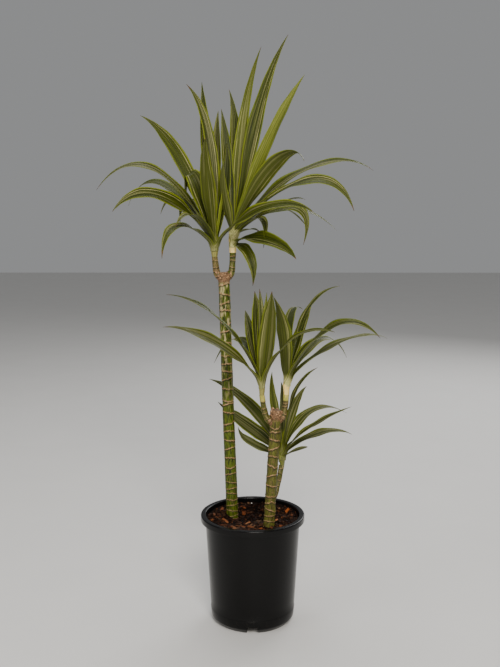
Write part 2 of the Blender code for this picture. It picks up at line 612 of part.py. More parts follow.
def build_leaf(name, foot, start, row, number):
    middle, tip, width, turn_middle, turn_tip, wave = row
    at = leaf_path(foot, start, middle, tip)
    way_out = Vector((tip.x - foot.x, tip.y - foot.y, 0.0))
    side_start = UP.cross(way_out).normalized()
    phase = 1.7 * number
    vertices = []
    for t in BLADE_STATIONS:
        spot, along, side, upper = leaf_frame(at, t, side_start, turn_middle, turn_tip)
        half = 0.5 * width * CM * width_at(t)
        fold = math.radians(FOLD_AT_FOOT + (FOLD_AT_TIP - FOLD_AT_FOOT) * min(1.0, t / 0.7))
        swing = wave * 0.001 * math.sin(math.pi * t) * width_at(t)
        left_wave = swing * math.sin(WAVES_ALONG * t + phase)
        right_wave = swing * math.sin(WAVES_ALONG * t + phase + WAVE_SHIFT)
        thick = BLADE_THICK * (1.0 + FOOT_THICKER * (1.0 - min(1.0, t / 0.4)))
        keel = spot - upper * half * math.sin(fold) * 0.5
        left = keel - side * half * math.cos(fold) + upper * (half * math.sin(fold) + left_wave)
        right = keel + side * half * math.cos(fold) + upper * (half * math.sin(fold) + right_wave)
        down = upper * thick
        vertices += [left, keel, right, left - down, keel - down, right - down]
    faces = []
    count = len(BLADE_STATIONS)
    for i in range(count - 1):
        a = i * 6
        b = a + 6
        faces += [(a, a + 1, b + 1), (a, b + 1, b)]
        faces += [(a + 1, a + 2, b + 2), (a + 1, b + 2, b + 1)]
        faces += [(a + 3, b + 4, a + 4), (a + 3, b + 3, b + 4)]
        faces += [(a + 4, b + 5, a + 5), (a + 4, b + 4, b + 5)]
        faces += [(a + 2, a + 5, b + 5), (a + 2, b + 5, b + 2)]
        faces += [(a, b, b + 3), (a, b + 3, a + 3)]
    faces += [(0, 3, 4, 1), (1, 4, 5, 2)]
    e = (count - 1) * 6
    faces += [(e, e + 1, e + 4, e + 3), (e + 1, e + 2, e + 5, e + 4)]
    return make_object(name, vertices, faces)


def build_head(name, centre, neck, span, radius, leaves):
    """Short shoot with its leaves, spreading ones from low on it and upright ones from its top."""
    crown = Vector(centre) * CM
    low = crown.z + span[0] * CM
    high = crown.z + span[1] * CM
    foot = crown.z - neck * CM + GAP
    middle = (low + high) / 2.0
    top = high + CROWN_TOP
    heights = (foot, foot + 0.4 * (low - foot), low, middle, high, top)
    centres = [Vector((crown.x, crown.y, height)) for height in heights]
    radii = [radius * swell for swell in SHOOT_SWELLS]
    shoot = tube(name, centres, radii, SHOOT_SIDES, level=range(len(heights)))
    blades = []
    for number, (near, far, width, turn_middle, turn_tip, wave) in enumerate(leaves):
        near = Vector(near)
        rise = max(near.z, 0.0) / near.length
        out = Vector((near.x, near.y, 0.0)).normalized()
        leaf_foot = Vector((crown.x, crown.y, low + (high - low) * rise)) - out * radius * 0.1
        start = (UP * (0.35 + 0.65 * rise) + out * (0.75 - 0.45 * rise)).normalized()
        shape = (crown + near * CM, crown + Vector(far) * CM, width, turn_middle, turn_tip, wave)
        blades.append(build_leaf("leaf_blade", leaf_foot, start, shape, number))
    boolean(shoot, blades, "UNION")
    clean_mesh(shoot)
    return shoot


def centre_on_origin(items):
    """Move everything so that the middle of the outline from above is the origin."""
    low = [min(v.co[axis] for item in items for v in item.data.vertices) for axis in (0, 1)]
    high = [max(v.co[axis] for item in items for v in item.data.vertices) for axis in (0, 1)]
    shift = Vector((-(low[0] + high[0]) / 2.0, -(low[1] + high[1]) / 2.0, 0.0))
    for item in items:
        for vertex in item.data.vertices:
            vertex.co += shift


def main():
    clear_scene()
    black = make_material("black_plastic", (0.012, 0.012, 0.013), 0.42)
    soil = make_material("dark_soil", (0.045, 0.028, 0.018), 0.95)
    bark = make_material("cane_bark", (0.30, 0.27, 0.15), 0.70)
    green = make_material("leaf_green", (0.10, 0.20, 0.06), 0.42)
    pot = build_pot()
    mix = build_mix()
    tall = build_cane("cane_tall", TALL_PATH, TALL_RADIUS, 3, (STEM_A, STEM_B))
    short = build_cane("cane_short", SHORT_PATH, SHORT_RADIUS, 5, (STEM_C, STEM_D, STEM_E))
    heads = [build_head(*head) for head in HEADS]
    for item, material in ((pot, black), (mix, soil), (tall, bark), (short, bark)):
        item.data.materials.clear()
        item.data.materials.append(material)
    for head in heads:
        head.data.materials.clear()
        head.data.materials.append(green)
    for item in (pot, tall, short):
        for polygon in item.data.polygons:
            polygon.use_smooth = True
    centre_on_origin([pot, mix, tall, short] + heads)


main()
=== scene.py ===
"""Potted dragon tree, dressed around its fixed solids.

Metres, +Z up, front towards -Y. Everything is placed from the axis of the pot.
"""

import random
from math import copysign, cos, exp, hypot, pi, radians, sin, sqrt, tau

import bmesh
import bpy
import numpy as np
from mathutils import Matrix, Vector, noise


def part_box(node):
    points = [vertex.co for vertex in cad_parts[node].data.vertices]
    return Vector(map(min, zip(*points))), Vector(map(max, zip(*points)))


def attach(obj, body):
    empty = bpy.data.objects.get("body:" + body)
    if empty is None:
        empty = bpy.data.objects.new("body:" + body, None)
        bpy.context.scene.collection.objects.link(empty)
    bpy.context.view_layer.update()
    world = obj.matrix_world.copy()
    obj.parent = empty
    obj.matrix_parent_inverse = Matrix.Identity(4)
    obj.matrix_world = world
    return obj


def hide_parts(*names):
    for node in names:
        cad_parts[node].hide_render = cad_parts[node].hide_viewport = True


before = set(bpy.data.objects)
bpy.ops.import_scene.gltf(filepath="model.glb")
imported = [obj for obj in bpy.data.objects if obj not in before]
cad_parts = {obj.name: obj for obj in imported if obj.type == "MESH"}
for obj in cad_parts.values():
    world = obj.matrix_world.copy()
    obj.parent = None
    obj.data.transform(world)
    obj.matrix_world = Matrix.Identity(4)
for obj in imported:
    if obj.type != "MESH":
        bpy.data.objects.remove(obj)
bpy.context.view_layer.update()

CM = 0.01
MM = 0.001
UP = Vector((0.0, 0.0, 1.0))
FRONT = Vector((0.0, -1.0, 0.0))
BOX_FACES = [(0, 1, 2, 3), (4, 5, 6, 7), (0, 1, 5, 4), (1, 2, 6, 5), (2, 3, 7, 6), (3, 0, 4, 7)]
POT_LOW, POT_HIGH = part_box("pot")
AXIS = Vector(((POT_LOW.x + POT_HIGH.x) / 2.0, (POT_LOW.y + POT_HIGH.y) / 2.0, 0.0))

# Pot
POT_SIDES = 192
POT_HEIGHT = 0.2323
RIM_RADIUS = 0.110
BODY_TOP_RADIUS = 0.1010
BODY_FOOT_RADIUS = 0.0883
FOOT_RADIUS = 0.0795
FOOT_HEIGHT = 0.011
FOOT_WIDTH = 0.004
FOOT_STEP = 0.001
FOOT_EDGE = 0.0006
FOOT_EDGE_RISE = 0.0005
WALL = 0.0022
PLATE_HEIGHT = 0.0170
SKIRT_HEIGHT = 0.0130
SKIRT_WALL = 0.0018
SKIRT_ROUND = 0.0008
LIP_ROUND = 0.0024
LEDGE_HEIGHT = 0.029
LEDGE_DEPTH = 0.0006
LEDGE_RUN = 0.0012
LEDGE_EDGE = 0.0004
OUTER_ROWS = 12
INNER_ROWS = 9
SHARP_ANGLE = 32.0
NOTCH_COUNT = 4
NOTCH_TOP_WIDTH = 0.019
NOTCH_FOOT_WIDTH = 0.025
NOTCH_HEIGHT = 0.0150
CHANNEL_WALL = 0.0022
CHANNEL_INNER_RADIUS = 0.050
DRAIN_RADIUS = 0.006
DRAIN_CIRCLE = 0.058
DRAIN_SIDES = 24
SINK = 0.0020
GAP = 0.0003

# Potting mix
MIX_TOP = 0.2245
MIX_BOWL = 0.013
MIX_RELIEF = 0.0022
HOLLOW_PLACE = (-0.006, 0.038)
HOLLOW_RADIUS = 0.042
HOLLOW_DEPTH = 0.012
SOIL_RINGS = 84
SOIL_SIDES = 240
CHIP_COUNT = 430
CHIP_SEED = 21
LARGE_CHIP_THICK = 2.6 * MM
LARGE_CHIP_LIFT = 1.2 * MM
CANE_CLEARANCE = 0.013

# Loose crumbs and perlite: count, seed, smallest size and spread of the sizes, most paleness
CRUMBS = (1700, 61, 0.7 * MM, 1.5 * MM, 0.14)
PERLITE = (2, 62, 1.0 * MM, 0.8 * MM, 1.0)

# First speck of perlite: distance from the pot axis, and turn in degrees
PERLITE_DISTANCE = 0.0925
PERLITE_TURN = 91.6

# Larger chips: place right and back in cm, turn in degrees, length and width in mm,
# warmth of the colour and paleness
LARGE_CHIPS = (
    (-6, 0.3, 112, 40, 7, 0.7, 0.55),
    (7.6, 4.4, 60, 20, 6, 1, 0.55),
    (5.2, 0.4, 20, 8, 6, 0.5, 0.75),
    (-2.1, 7.8, -25, 14, 5, 0.9, 0.30),
    (-6.7, 5.3, 70, 15, 6, 0.8, 0.30),
    (-2.2, -3.6, 10, 13, 7, 0.9, 0.35),
    (-0.4, -3.9, -15, 15, 7, 0.7, 0.30),
    (1.5, -4.2, 20, 12, 6, 0.9, 0.40),
    (-1, 0.9, 35, 14, 4, 0.4, 0.60),
    (-4.6, 7.4, 15, 14, 6, 0.8, 0.25),
    (8.4, 1.6, 80, 13, 6, 0.8, 0.25),
    (-8.3, 2.6, 95, 16, 6, 0.6, 0.25),
)

# Canes: points along the middle in cm, radius, seed, place where the silver streaks with painted sheen
# begin, share of brown bark, height of the scars and of the lumps
CANES = {
    "tall": (((-4.4, 3.7, 14.6), (-4.5, 4.4, 24), (-5.3, 6, 46), (-6.1, 6.5, 73.9)),
             0.0134, 3, 0.42, 0, 0.45 * MM, 0.5 * MM),
    "short": (((3.3, -2.2, 16.4), (3.5, -2.1, 22), (4.1, -1.5, 33), (4.9, -1, 45.9)),
              0.0122, 5, 0.32, 0.22, 0.75 * MM, 1.3 * MM),
}
CANE_TAPER = 0.11
CANE_STEP = 0.0008
CANE_SIDES = 72
SCAR_SPACING = 0.0140
SCAR_TILT = 0.0078
SCAR_TURN = 137.5
FIRST_SCAR = 0.045
COLLAR_HEIGHT = 0.015
COLLAR_BULGE = 0.0012
STEM_SIDES = 48
STEM_STEP = 0.0006
STEM_SWELL = 0.0010

# Bark of the stems, the necks and the callus at the cuts
MOST_BROWN = 0.95
STEM_SEED = 31
STEM_RIDGE = 0.24 * MM
STEM_LUMPS = 0.8 * MM
# Share of silver bark with painted sheen on the stems
STEM_SILVER_AND_SHEEN = 0.55
NECK_SEED = 51
NECK_RELIEF = 0.25 * MM
CALLUS_SEED = 41
CALLUS_SHARE = 0.94
CALLUS_BROWN = 0.90
CALLUS_BALLS = 26
CALLUS_BALLS_AT_STEM = 10
CALLUS_GRAIN = 0.0007
CALLUS_DEPTH = 0.013
CALLUS_SMOOTHINGS = 3
CALLUS_NOISE = 420
CREST_SMOOTHINGS = 4
CREST_HEIGHT = 0.030 * MM
SCAR_WIDTH = 0.80 * MM
GROOVE_SHIFT = 2.0 * MM
GROOVE_WIDTH = 1.1 * MM
SCAR_WANDER = 1.8 * MM
FULL_RIDGE = 0.45 * MM
BARK_KEYS = ("run", "round_x", "round_y", "scar", "groove_shade", "brown", "silver", "cream")

# Side stems: path in cm, radius at the foot and at the end, shares of brown bark and of cream end
STEMS = {
    "tall_left": (((-6.3, 6.4, 72.3), (-7.4, 6.3, 73.6), (-7.8, 6.2, 75.3), (-8, 6, 77.2)),
                  0.0080, 0.0060, 0.45, 0.1),
    "tall_right": (((-5.7, 6.6, 72.3), (-4.6, 6.7, 73.7), (-4.3, 6.8, 75.6), (-4.2, 7, 78)),
                   0.0074, 0.0062, 0.05, 0),
    "short_left": (((4.3, -1.2, 43), (3, -1.5, 44.4), (2.3, -1.9, 46.6), (1.9, -2, 49.3)),
                   0.0066, 0.0054, 0.15, 0.8),
    "short_right": (((5.2, -1, 43.2), (6.3, -0.6, 44.6), (6.8, -0.2, 46.6), (7, 0, 49)),
                    0.0062, 0.0058, 0.35, 1),
    "low": (((4.1, -1.2, 26.6), (4.9, 0.3, 27.8), (5.6, 1.5, 30.2), (6.2, 2.4, 33)),
            0.0062, 0.0054, 0.15, 0),
}

# Leaf blades
LEAF_STRIPS = 12
LEAF_STATIONS = 52
LEAF_THICK = 0.0005
LEAF_RIB = 0.5 * MM
LEAF_KEYS = ("across", "run", "seed", "fresh", "dry", "old", "under", "base")
WIDTH_CURVE = ((0, 0.54), (0.10, 0.54), (0.22, 0.70), (0.42, 1), (0.58, 0.96), (0.74, 0.70),
               (0.86, 0.38), (0.94, 0.16), (1, 0.02))
FOLD_AT_FOOT = 26.0
FOLD_AT_TIP = 10.0
WAVES_ALONG = 19.0
WAVE_SHIFT = 2.2
WAVE_SHARE = 1.5
EDGE_CHANGE = 0.06
EDGE_CHANGES_ALONG = 11.0
SHEATH_STEPS = (0.0050, 0.0035, 0.0020, 0.0010)
SHEATH_REACH = 1.75
CLASP_END = 0.15
CLASP_STEP = 0.00016
CROWN_TOP = 0.016
SHOOT_SWELLS = (1, 1, 1.08, 1.30, 1.05, 0.25)

# Each row: middle of the leaf and its tip in cm from the foot of the head, width in cm, turn of
# the upper face to the front at the middle and at the tip in degrees, height of the waves in mm.
LEAVES_TALL_LEFT = (
    (-5.9, 5, 16, -16.5, 12, 28, 3.2, 60, 50, 1.5),
    (-9.5, -1, 14.5, -24, -3, 12, 3, 28, 25, 1.5),
    (-3.5, -2.5, 13.5, -6.5, 8, 8, 3.5, 40, 30, 1),
    (-8, -8, 10, -19, -15, 8, 3.3, 62, 55, 1.5),
    (-9, 6, 12, -19.5, 12, 8.5, 2.8, 20, 30, 1),
    (-6, 8, 9, -13, 18, 6.5, 2.6, 10, 10, 1),
    (-5, 11, 9, -8.5, 17, 4, 2.6, 10, 10, 1),
    (-5.5, -7, 5, -9.5, -16, -1, 2.8, 20, 20, 1),
    (-3, -7, 6.5, -7, -14, 5, 2.6, 10, 10, 1),
    (-1, -6, 12.5, -1, -14, 22, 3.1, 0, 0, 1),
    (-0.5, 3, 18, -6, 6, 34, 2.8, 30, 40, 1.5),
    (-1.5, 6, 18, -3, 11, 35, 2.8, 20, 30, 1),
    (0, 6, 16, 0.5, 12, 29, 2.4, 0, 0, 1),
    (8.5, -10, 8, 19.5, -17, 8, 3.1, 52, 45, 1.5),
    (1.5, -0.2, 9, 2, -0.6, 14.2, 1.8, 0, 0, 0.3),
    (2, 1.5, 11.5, 2.4, 4, 22, 2.8, 0, 0, 0.8),
)
LEAVES_TALL_RIGHT = (
    (-1, 3, 15, -2.5, 6, 28, 2.6, 10, 10, 1),
    (4, 2, 21.5, 11.5, 3, 42.7, 3.2, 60, 60, 2),
    (1.5, 5, 20.5, 6, 10, 41.3, 2.6, 20, 75, 1.5),
    (6, -3, 18, 14.5, -6, 33.7, 2.6, -50, -60, 2),
    (0.5, 7, 17.5, -1, 13, 32.7, 2.8, 0, 10, 1),
    (7, -7, 14.5, 14, -16, 16.5, 3.5, -40, -20, 1),
    (12.5, 0, 13.9, 29, -2, 15, 3.1, 30, 20, 2),
    (11.8, -6, 12, 24, -13, 7, 3.3, 30, 60, 1.5),
    (9, 7, 7, 23, 13, 2, 2.9, 30, 30, 1),
    (7, 9, 7, 17, 18, 2, 2.8, 10, 10, 1),
    (10, -4, 7.5, 14.5, -6, 0, 2.6, 30, 60, 1),
    (4.5, -4, 5.5, 6.3, -9, -0.5, 2.6, 0, 0, 1),
    (7.5, -1, 7.5, 15, -3, 9, 2.6, 10, 10, 1),
    (6.5, -9, 1.5, 12.5, -18, -2, 3.1, 50, 50, 1),
    (3, -4, -1.5, 4.2, -5, -8.5, 2.6, 30, 30, 0.8),
    (3.5, -1, 3, 5.5, -3, 1, 1.6, 0, 0, 0.5),
    (4, -4, 7, 8.5, -9, 10, 2.4, 20, 20, 0.5),
    (-1.5, -1.5, 8.5, -1.8, -3, 17, 2.5, 0, 0, 0.5),
)
LEAVES_SHORT_LEFT = (
    (-6.5, -6, 13.2, -18.5, -10, 20.5, 2.7, 25, 20, 1.5),
    (-8, -7, 10.1, -19, -12, 14.5, 3.1, 52, 15, 1.5),
    (-3.5, 8, 8, -10.5, 17, 2, 2.6, 10, 10, 1),
    (0.9, -3, 10.5, 1.8, -9, 21, 3.9, 0, 0, 1),
    (-0.6, 4, 10.5, -1.5, 9, 19, 3, 0, 0, 1),
    (-1.7, 5, 8.5, -3.5, 12, 14.5, 2.9, 0, 0, 1),
    (0, 2, 10, -0.5, 5, 20, 2.2, 0, 0, 0.8),
    (0.5, 1, 9.5, 1, 3, 19.5, 2, 0, 0, 0.5),
    (4.5, -8, 10.5, 13.5, -15, 14, 2.9, 30, 20, 1),
)
LEAVES_SHORT_RIGHT = (
    (-0.5, -3, 10, -3, -8, 19.5, 3.6, 10, 20, 1),
    (2.7, -1, 12.6, 10.5, -3, 21, 2.4, 30, 30, 1),
    (2.5, 5, 9, 6, 11, 16.5, 2.6, 0, 0, 1),
    (0.5, 6, 11, 4, 14, 14, 2.4, 0, 0, 1),
    (6.8, -7, 12.2, 17.5, -13, 12, 3.2, 30, 20, 1.5),
    (9.5, 2, 8, 21.5, 5, 9, 2.5, 5, 10, 1.5),
    (6, 8, 7.5, 14, 15, 3, 2.6, 20, 20, 1),
)
LEAVES_LOW = (
    (1.5, -2, 11, 7, -5, 20, 2.7, 40, 50, 1),
    (2, 3, 8, 5.5, 7, 13.5, 2.2, 10, 20, 0.8),
    (4.5, 4, 7.4, 14.5, 9, 7, 2.4, 20, 20, 1),
    (5.5, -5, 7.5, 13.5, -10, 13, 2.5, 30, 20, 1),
    (6.5, 1, 4.2, 15, 2, 4, 2.4, 20, 20, 1),
    (2.8, -3, 2, 5, -6, 3.5, 2.2, 20, 20, 0),
    (-6, 6.5, 8.5, -16, 12, 14, 2.9, 40, 30, 1),
    (-6, 4.5, 4.4, -14, 9, 9.5, 3.2, 50, 40, 1),
    (-5.5, 2.2, 1.6, -9.4, 3.4, 5.3, 2.2, 30, 30, 0.8),
    (-1.5, 3.5, 9, -2.1, 5.5, 17, 2, 0, 0, 0.5),
    (0.3, 3, 8, -0.2, 4.5, 15, 1.9, 0, 0, 0.5),
)

# Leaves that differ from the usual: number of the row, share of fresh yellow-green, of dry brown
# from the tip, of dark old green
ODD_TALL_LEFT = {14: (1, 0, 0), 15: (0, 0, 0.9), 6: (0, 0, 0.3), 7: (0, 0.05, 0.1),
                 11: (0, 0, 0.6)}
ODD_TALL_RIGHT = {0: (0, 0.02, 0.3), 2: (0.15, 0.02, 0), 3: (0.45, 0, 0), 4: (0, 0.02, 0.4),
                  15: (0, 0.3, 0.3), 17: (0, 0, 0.7)}
ODD_SHORT_LEFT = {5: (0, 0.02, 0.7), 7: (0.2, 0, 0), 2: (0, 0.02, 0.5)}
ODD_SHORT_RIGHT = {3: (0, 0.02, 0.7), 6: (0, 0, 0.4)}
ODD_LOW = {5: (0, 0.1, 0.4), 6: (0, 0, 0.4), 7: (0, 0, 0.7), 8: (0, 0, 0.7), 9: (0.2, 0, 0),
           10: (0, 0, 0.5)}

# Heads: name, reference point in cm, shoot below it, lowest and highest leaf foot, radius, leaves,
# odd leaves, share of cream at the foot
HEADS = (
    ("head_tall_left", (-8, 6, 79), 1.8, (-1.3, 1.1), 0.0064, LEAVES_TALL_LEFT, ODD_TALL_LEFT, 0.12),
    ("head_tall_right", (-4.2, 7, 80), 2, (-0.4, 2), 0.0074, LEAVES_TALL_RIGHT, ODD_TALL_RIGHT, 1),
    ("head_short_left", (1.9, -2, 50.8), 1.5, (-0.8, 1), 0.0054, LEAVES_SHORT_LEFT, ODD_SHORT_LEFT, 0.15),
    ("head_short_right", (7, 0, 51), 2, (-1, 1), 0.0060, LEAVES_SHORT_RIGHT, ODD_SHORT_RIGHT, 1),
    ("head_low", (6.3, 2.5, 35.2), 2.2, (-1.7, 1), 0.0052, LEAVES_LOW, ODD_LOW, 0),
)

# Lights: name, place, target, width and height, power, colour
LIGHTS = (
    ("key", (0.4, -2.6, 2.3), (0, 0, 0.6), (1, 1), 92, (1, 0.96, 0.90)),
    ("strip", (-0.05, -2.5, 0.85), (0, 0, 0.35), (0.22, 1.1), 10, (1, 0.93, 0.82)),
    ("fill", (-2.2, -1.4, 1.6), (0, 0, 0.6), (1.4, 1.4), 16, (1, 1, 1)),
    ("top", (-0.2, 0.8, 2.9), (0, 0, 0.4), (1.4, 1.4), 28, (1, 1, 1)),
    ("back", (1.4, 2.6, 2), (0, 0, 0.6), (1.6, 1.6), 42, (1, 1, 1)),
)
WORLD_COLOUR = (0.80, 0.81, 0.82, 1)
WORLD_STRENGTH = 0.34
FLOOR_REACH = 8.0

# Camera: place from the pot axis, turns in degrees, focal length in pixels of the image
CAMERA_PLACE = (0, -1.8838, 0.9185)
CAMERA_DOWN = 9.05
CAMERA_TURN = 0.17
FOCAL_PIXELS = 926.0
IMAGE_HEIGHT = 667.0
SENSOR_WIDTH = 36.0


class Net:
    """Adds and joins the nodes of one material."""

    def __init__(self, name):
        self.material = bpy.data.materials.new(name)
        self.material.use_nodes = True
        self.tree = self.material.node_tree
        self.shader = self.tree.nodes["Principled BSDF"]

    def plug(self, value, socket):
        if isinstance(value, bpy.types.NodeSocket):
            self.tree.links.new(value, socket)
        elif isinstance(value, tuple):
            socket.default_value = (*value, 1)
        else:
            socket.default_value = value

    def add(self, kind, inputs, **settings):
        node = self.tree.nodes.new(kind)
        for key, value in settings.items():
            setattr(node, key, value)
        for key, value in inputs.items():
            self.plug(value, node.inputs[key])
        return node.outputs

    def attributes(self, *names):
        return [self.add("ShaderNodeAttribute", {}, attribute_name=name)["Fac"] for name in names]

    def place(self):
        return self.add("ShaderNodeTexCoord", {})["Object"]

    def calc(self, operation, first, second=0, clamp=False):
        return self.add("ShaderNodeMath", {0: first, 1: second}, operation=operation, use_clamp=clamp)[0]

    def times(self, first, second, clamp=False):
        return self.calc("MULTIPLY", first, second, clamp)

    def plus(self, first, second, clamp=False):
        return self.calc("ADD", first, second, clamp)

    def minus(self, first, second):
        return self.calc("SUBTRACT", first, second)

    def vector(self, x, y, z):
        return self.add("ShaderNodeCombineXYZ", {0: x, 1: y, 2: z})[0]

    def noise(self, vector, scale, detail=3, rough=0.55):
        inputs = {"Vector": vector, "Scale": scale, "Detail": detail, "Roughness": rough}
        return self.add("ShaderNodeTexNoise", inputs)["Fac"]

    def ease(self, value, low, high, start=0, end=1):
        inputs = {"Value": value, "From Min": low, "From Max": high, "To Min": start, "To Max": end}
        return self.add("ShaderNodeMapRange", inputs, interpolation_type="SMOOTHSTEP")["Result"]

    def mix(self, factor, first, second):
        return self.add("ShaderNodeMix", {0: factor, 6: first, 7: second}, data_type="RGBA")[2]

    def grade(self, value, low, high, first, second):
        """Colour that goes from first to second where value goes from low to high."""
        return self.mix(self.ease(value, low, high), first, second)

    def finish(self, colour, roughness, height=None, depth=0, gloss=0.5):
        inputs = self.shader.inputs
        self.plug(colour, inputs["Base Color"])
        self.plug(roughness, inputs["Roughness"])
        inputs["Specular IOR Level"].default_value = gloss
        if height is not None:
            bump = {"Strength": 1, "Distance": depth, "Height": height}
            self.plug(self.add("ShaderNodeBump", bump)["Normal"], inputs["Normal"])
        return self.material


def pot_material():
    net = Net("pot_black_plastic")
    place = net.place()
    fine = net.noise(place, 900, 3)
    broad = net.noise(place, 28, 4)
    up = net.add("ShaderNodeSeparateXYZ", {0: place})[2]
    rings = net.noise(net.vector(0, 0, net.times(up, 420)), 1, 2)
    dust = net.ease(net.noise(place, 160, 5, 0.7), 0.55, 0.8)
    low = net.ease(up, 0, 0.05, 1, 0)
    dust_share = net.times(dust, net.plus(net.times(low, 0.3), 0.1))
    colour = net.mix(dust_share, (0.0022, 0.0021, 0.0021), (0.04, 0.03, 0.02))
    rough = net.plus(net.times(broad, 0.14), 0.17)
    rough = net.plus(rough, net.times(dust_share, 0.5))
    height = net.plus(net.times(fine, 0.3), net.times(rings, 0.7))
    return net.finish(colour, rough, height, depth=0.0001, gloss=0.18)


def soil_material():
    net = Net("soil_dark_bark")
    place = net.place()
    coarse = net.noise(place, 120, 5, 0.65)
    fine = net.noise(place, 700, 5, 0.7)
    colour = net.grade(coarse, 0.35, 0.7, (0.0016, 0.0008, 0.0006), (0.009, 0.004, 0.002))
    colour = net.grade(fine, 0.56, 0.8, colour, (0.026, 0.01, 0.004))
    height = net.plus(net.times(fine, 0.6), coarse)
    return net.finish(colour, 0.92, height, depth=0.0012, gloss=0.08)


def chip_material():
    net = Net("bark_chips")
    place = net.place()
    pale, warm = net.attributes("pale", "warm")
    dark = net.mix(warm, (0.003, 0.0013, 0.0008), (0.013, 0.003, 0.001))
    light = net.mix(warm, (0.4, 0.22, 0.11), (0.42, 0.1, 0.015))
    grain = net.noise(place, 520, 5, 0.65)
    share = net.times(pale, net.plus(grain, 0.45), clamp=True)
    colour = net.mix(share, dark, light)
    return net.finish(colour, 0.82, grain, depth=0.0007, gloss=0.12)


def perlite_material():
    net = Net("perlite_white")
    grain = net.noise(net.place(), 900, 4)
    colour = net.mix(grain, (0.55, 0.53, 0.48), (0.85, 0.84, 0.8))
    return net.finish(colour, 0.85, grain, depth=0.0004)


def cane_material():
    net = Net("cane_bark")
    place = net.place()
    along, turn_x, turn_y, scar, groove_shade, brown, silver, cream = net.attributes(*BARK_KEYS)
    stretched = net.vector(turn_x, turn_y, net.times(along, 14))
    streak = net.noise(stretched, 5.5, 5, 0.7)
    fine = net.noise(net.vector(turn_x, turn_y, net.times(along, 40)), 16, 4, 0.7)
    blotch = net.noise(place, 95, 4, 0.6)
    speck = net.noise(place, 620, 3, 0.6)
    green = net.grade(streak, 0.38, 0.6, (0.01, 0.016, 0.001), (0.09, 0.118, 0.006))
    green = net.mix(net.ease(fine, 0.58, 0.76, 0, 0.5), green, (0.23, 0.23, 0.04))
    # Pale patches on the upper bark: partly the paler silvery old bark, partly painted sheen
    sheen = net.noise(net.vector(turn_x, turn_y, net.times(along, 26)), 2.1, 3, 0.6)
    silver_share = net.times(silver, net.ease(sheen, 0.5, 0.62), clamp=True)
    green = net.mix(silver_share, green, (0.4, 0.34, 0.16))
    dull = net.grade(speck, 0.38, 0.62, (0.05, 0.028, 0.012), (0.3, 0.16, 0.085))
    brown_share = net.plus(brown, net.ease(blotch, 0.55, 0.7, 0, 0.35), clamp=True)
    colour = net.mix(brown_share, green, dull)
    waxy = net.grade(streak, 0.4, 0.64, (0.28, 0.32, 0.025), (0.7, 0.52, 0.17))
    colour = net.mix(cream, colour, waxy)
    line = net.times(scar, net.ease(blotch, 0.34, 0.52, 0.45, 1), clamp=True)
    tan = net.grade(speck, 0.4, 0.62, (0.23, 0.11, 0.05), (0.62, 0.38, 0.21))
    colour = net.mix(line, colour, tan)
    # Painted shade: darkens the groove under each scar and the crevices of the callus
    colour = net.mix(net.times(groove_shade, 0.8, clamp=True), colour, (0.01, 0.011, 0.004))
    height = net.plus(net.times(fine, 0.8), net.times(speck, 0.5))
    rough = net.ease(streak, 0.3, 0.7, 0.4, 0.58)
    return net.finish(colour, rough, height, depth=0.00045, gloss=0.18)


def neck_material():
    net = Net("leaf_base_cream")
    along, turn_x, turn_y, scar, cream = net.attributes("run", "round_x", "round_y", "scar", "cream")
    streak = net.noise(net.vector(turn_x, turn_y, net.times(along, 10)), 7, 4, 0.6)
    green = net.grade(streak, 0.4, 0.6, (0.04, 0.055, 0.004), (0.18, 0.19, 0.03))
    white = net.grade(streak, 0.35, 0.6, (0.8, 0.5, 0.1), (0.98, 0.78, 0.28))
    colour = net.mix(cream, green, white)
    colour = net.mix(net.times(scar, 0.35, clamp=True), colour, (0.2, 0.12, 0.05))
    return net.finish(colour, 0.42, streak, depth=0.0003)


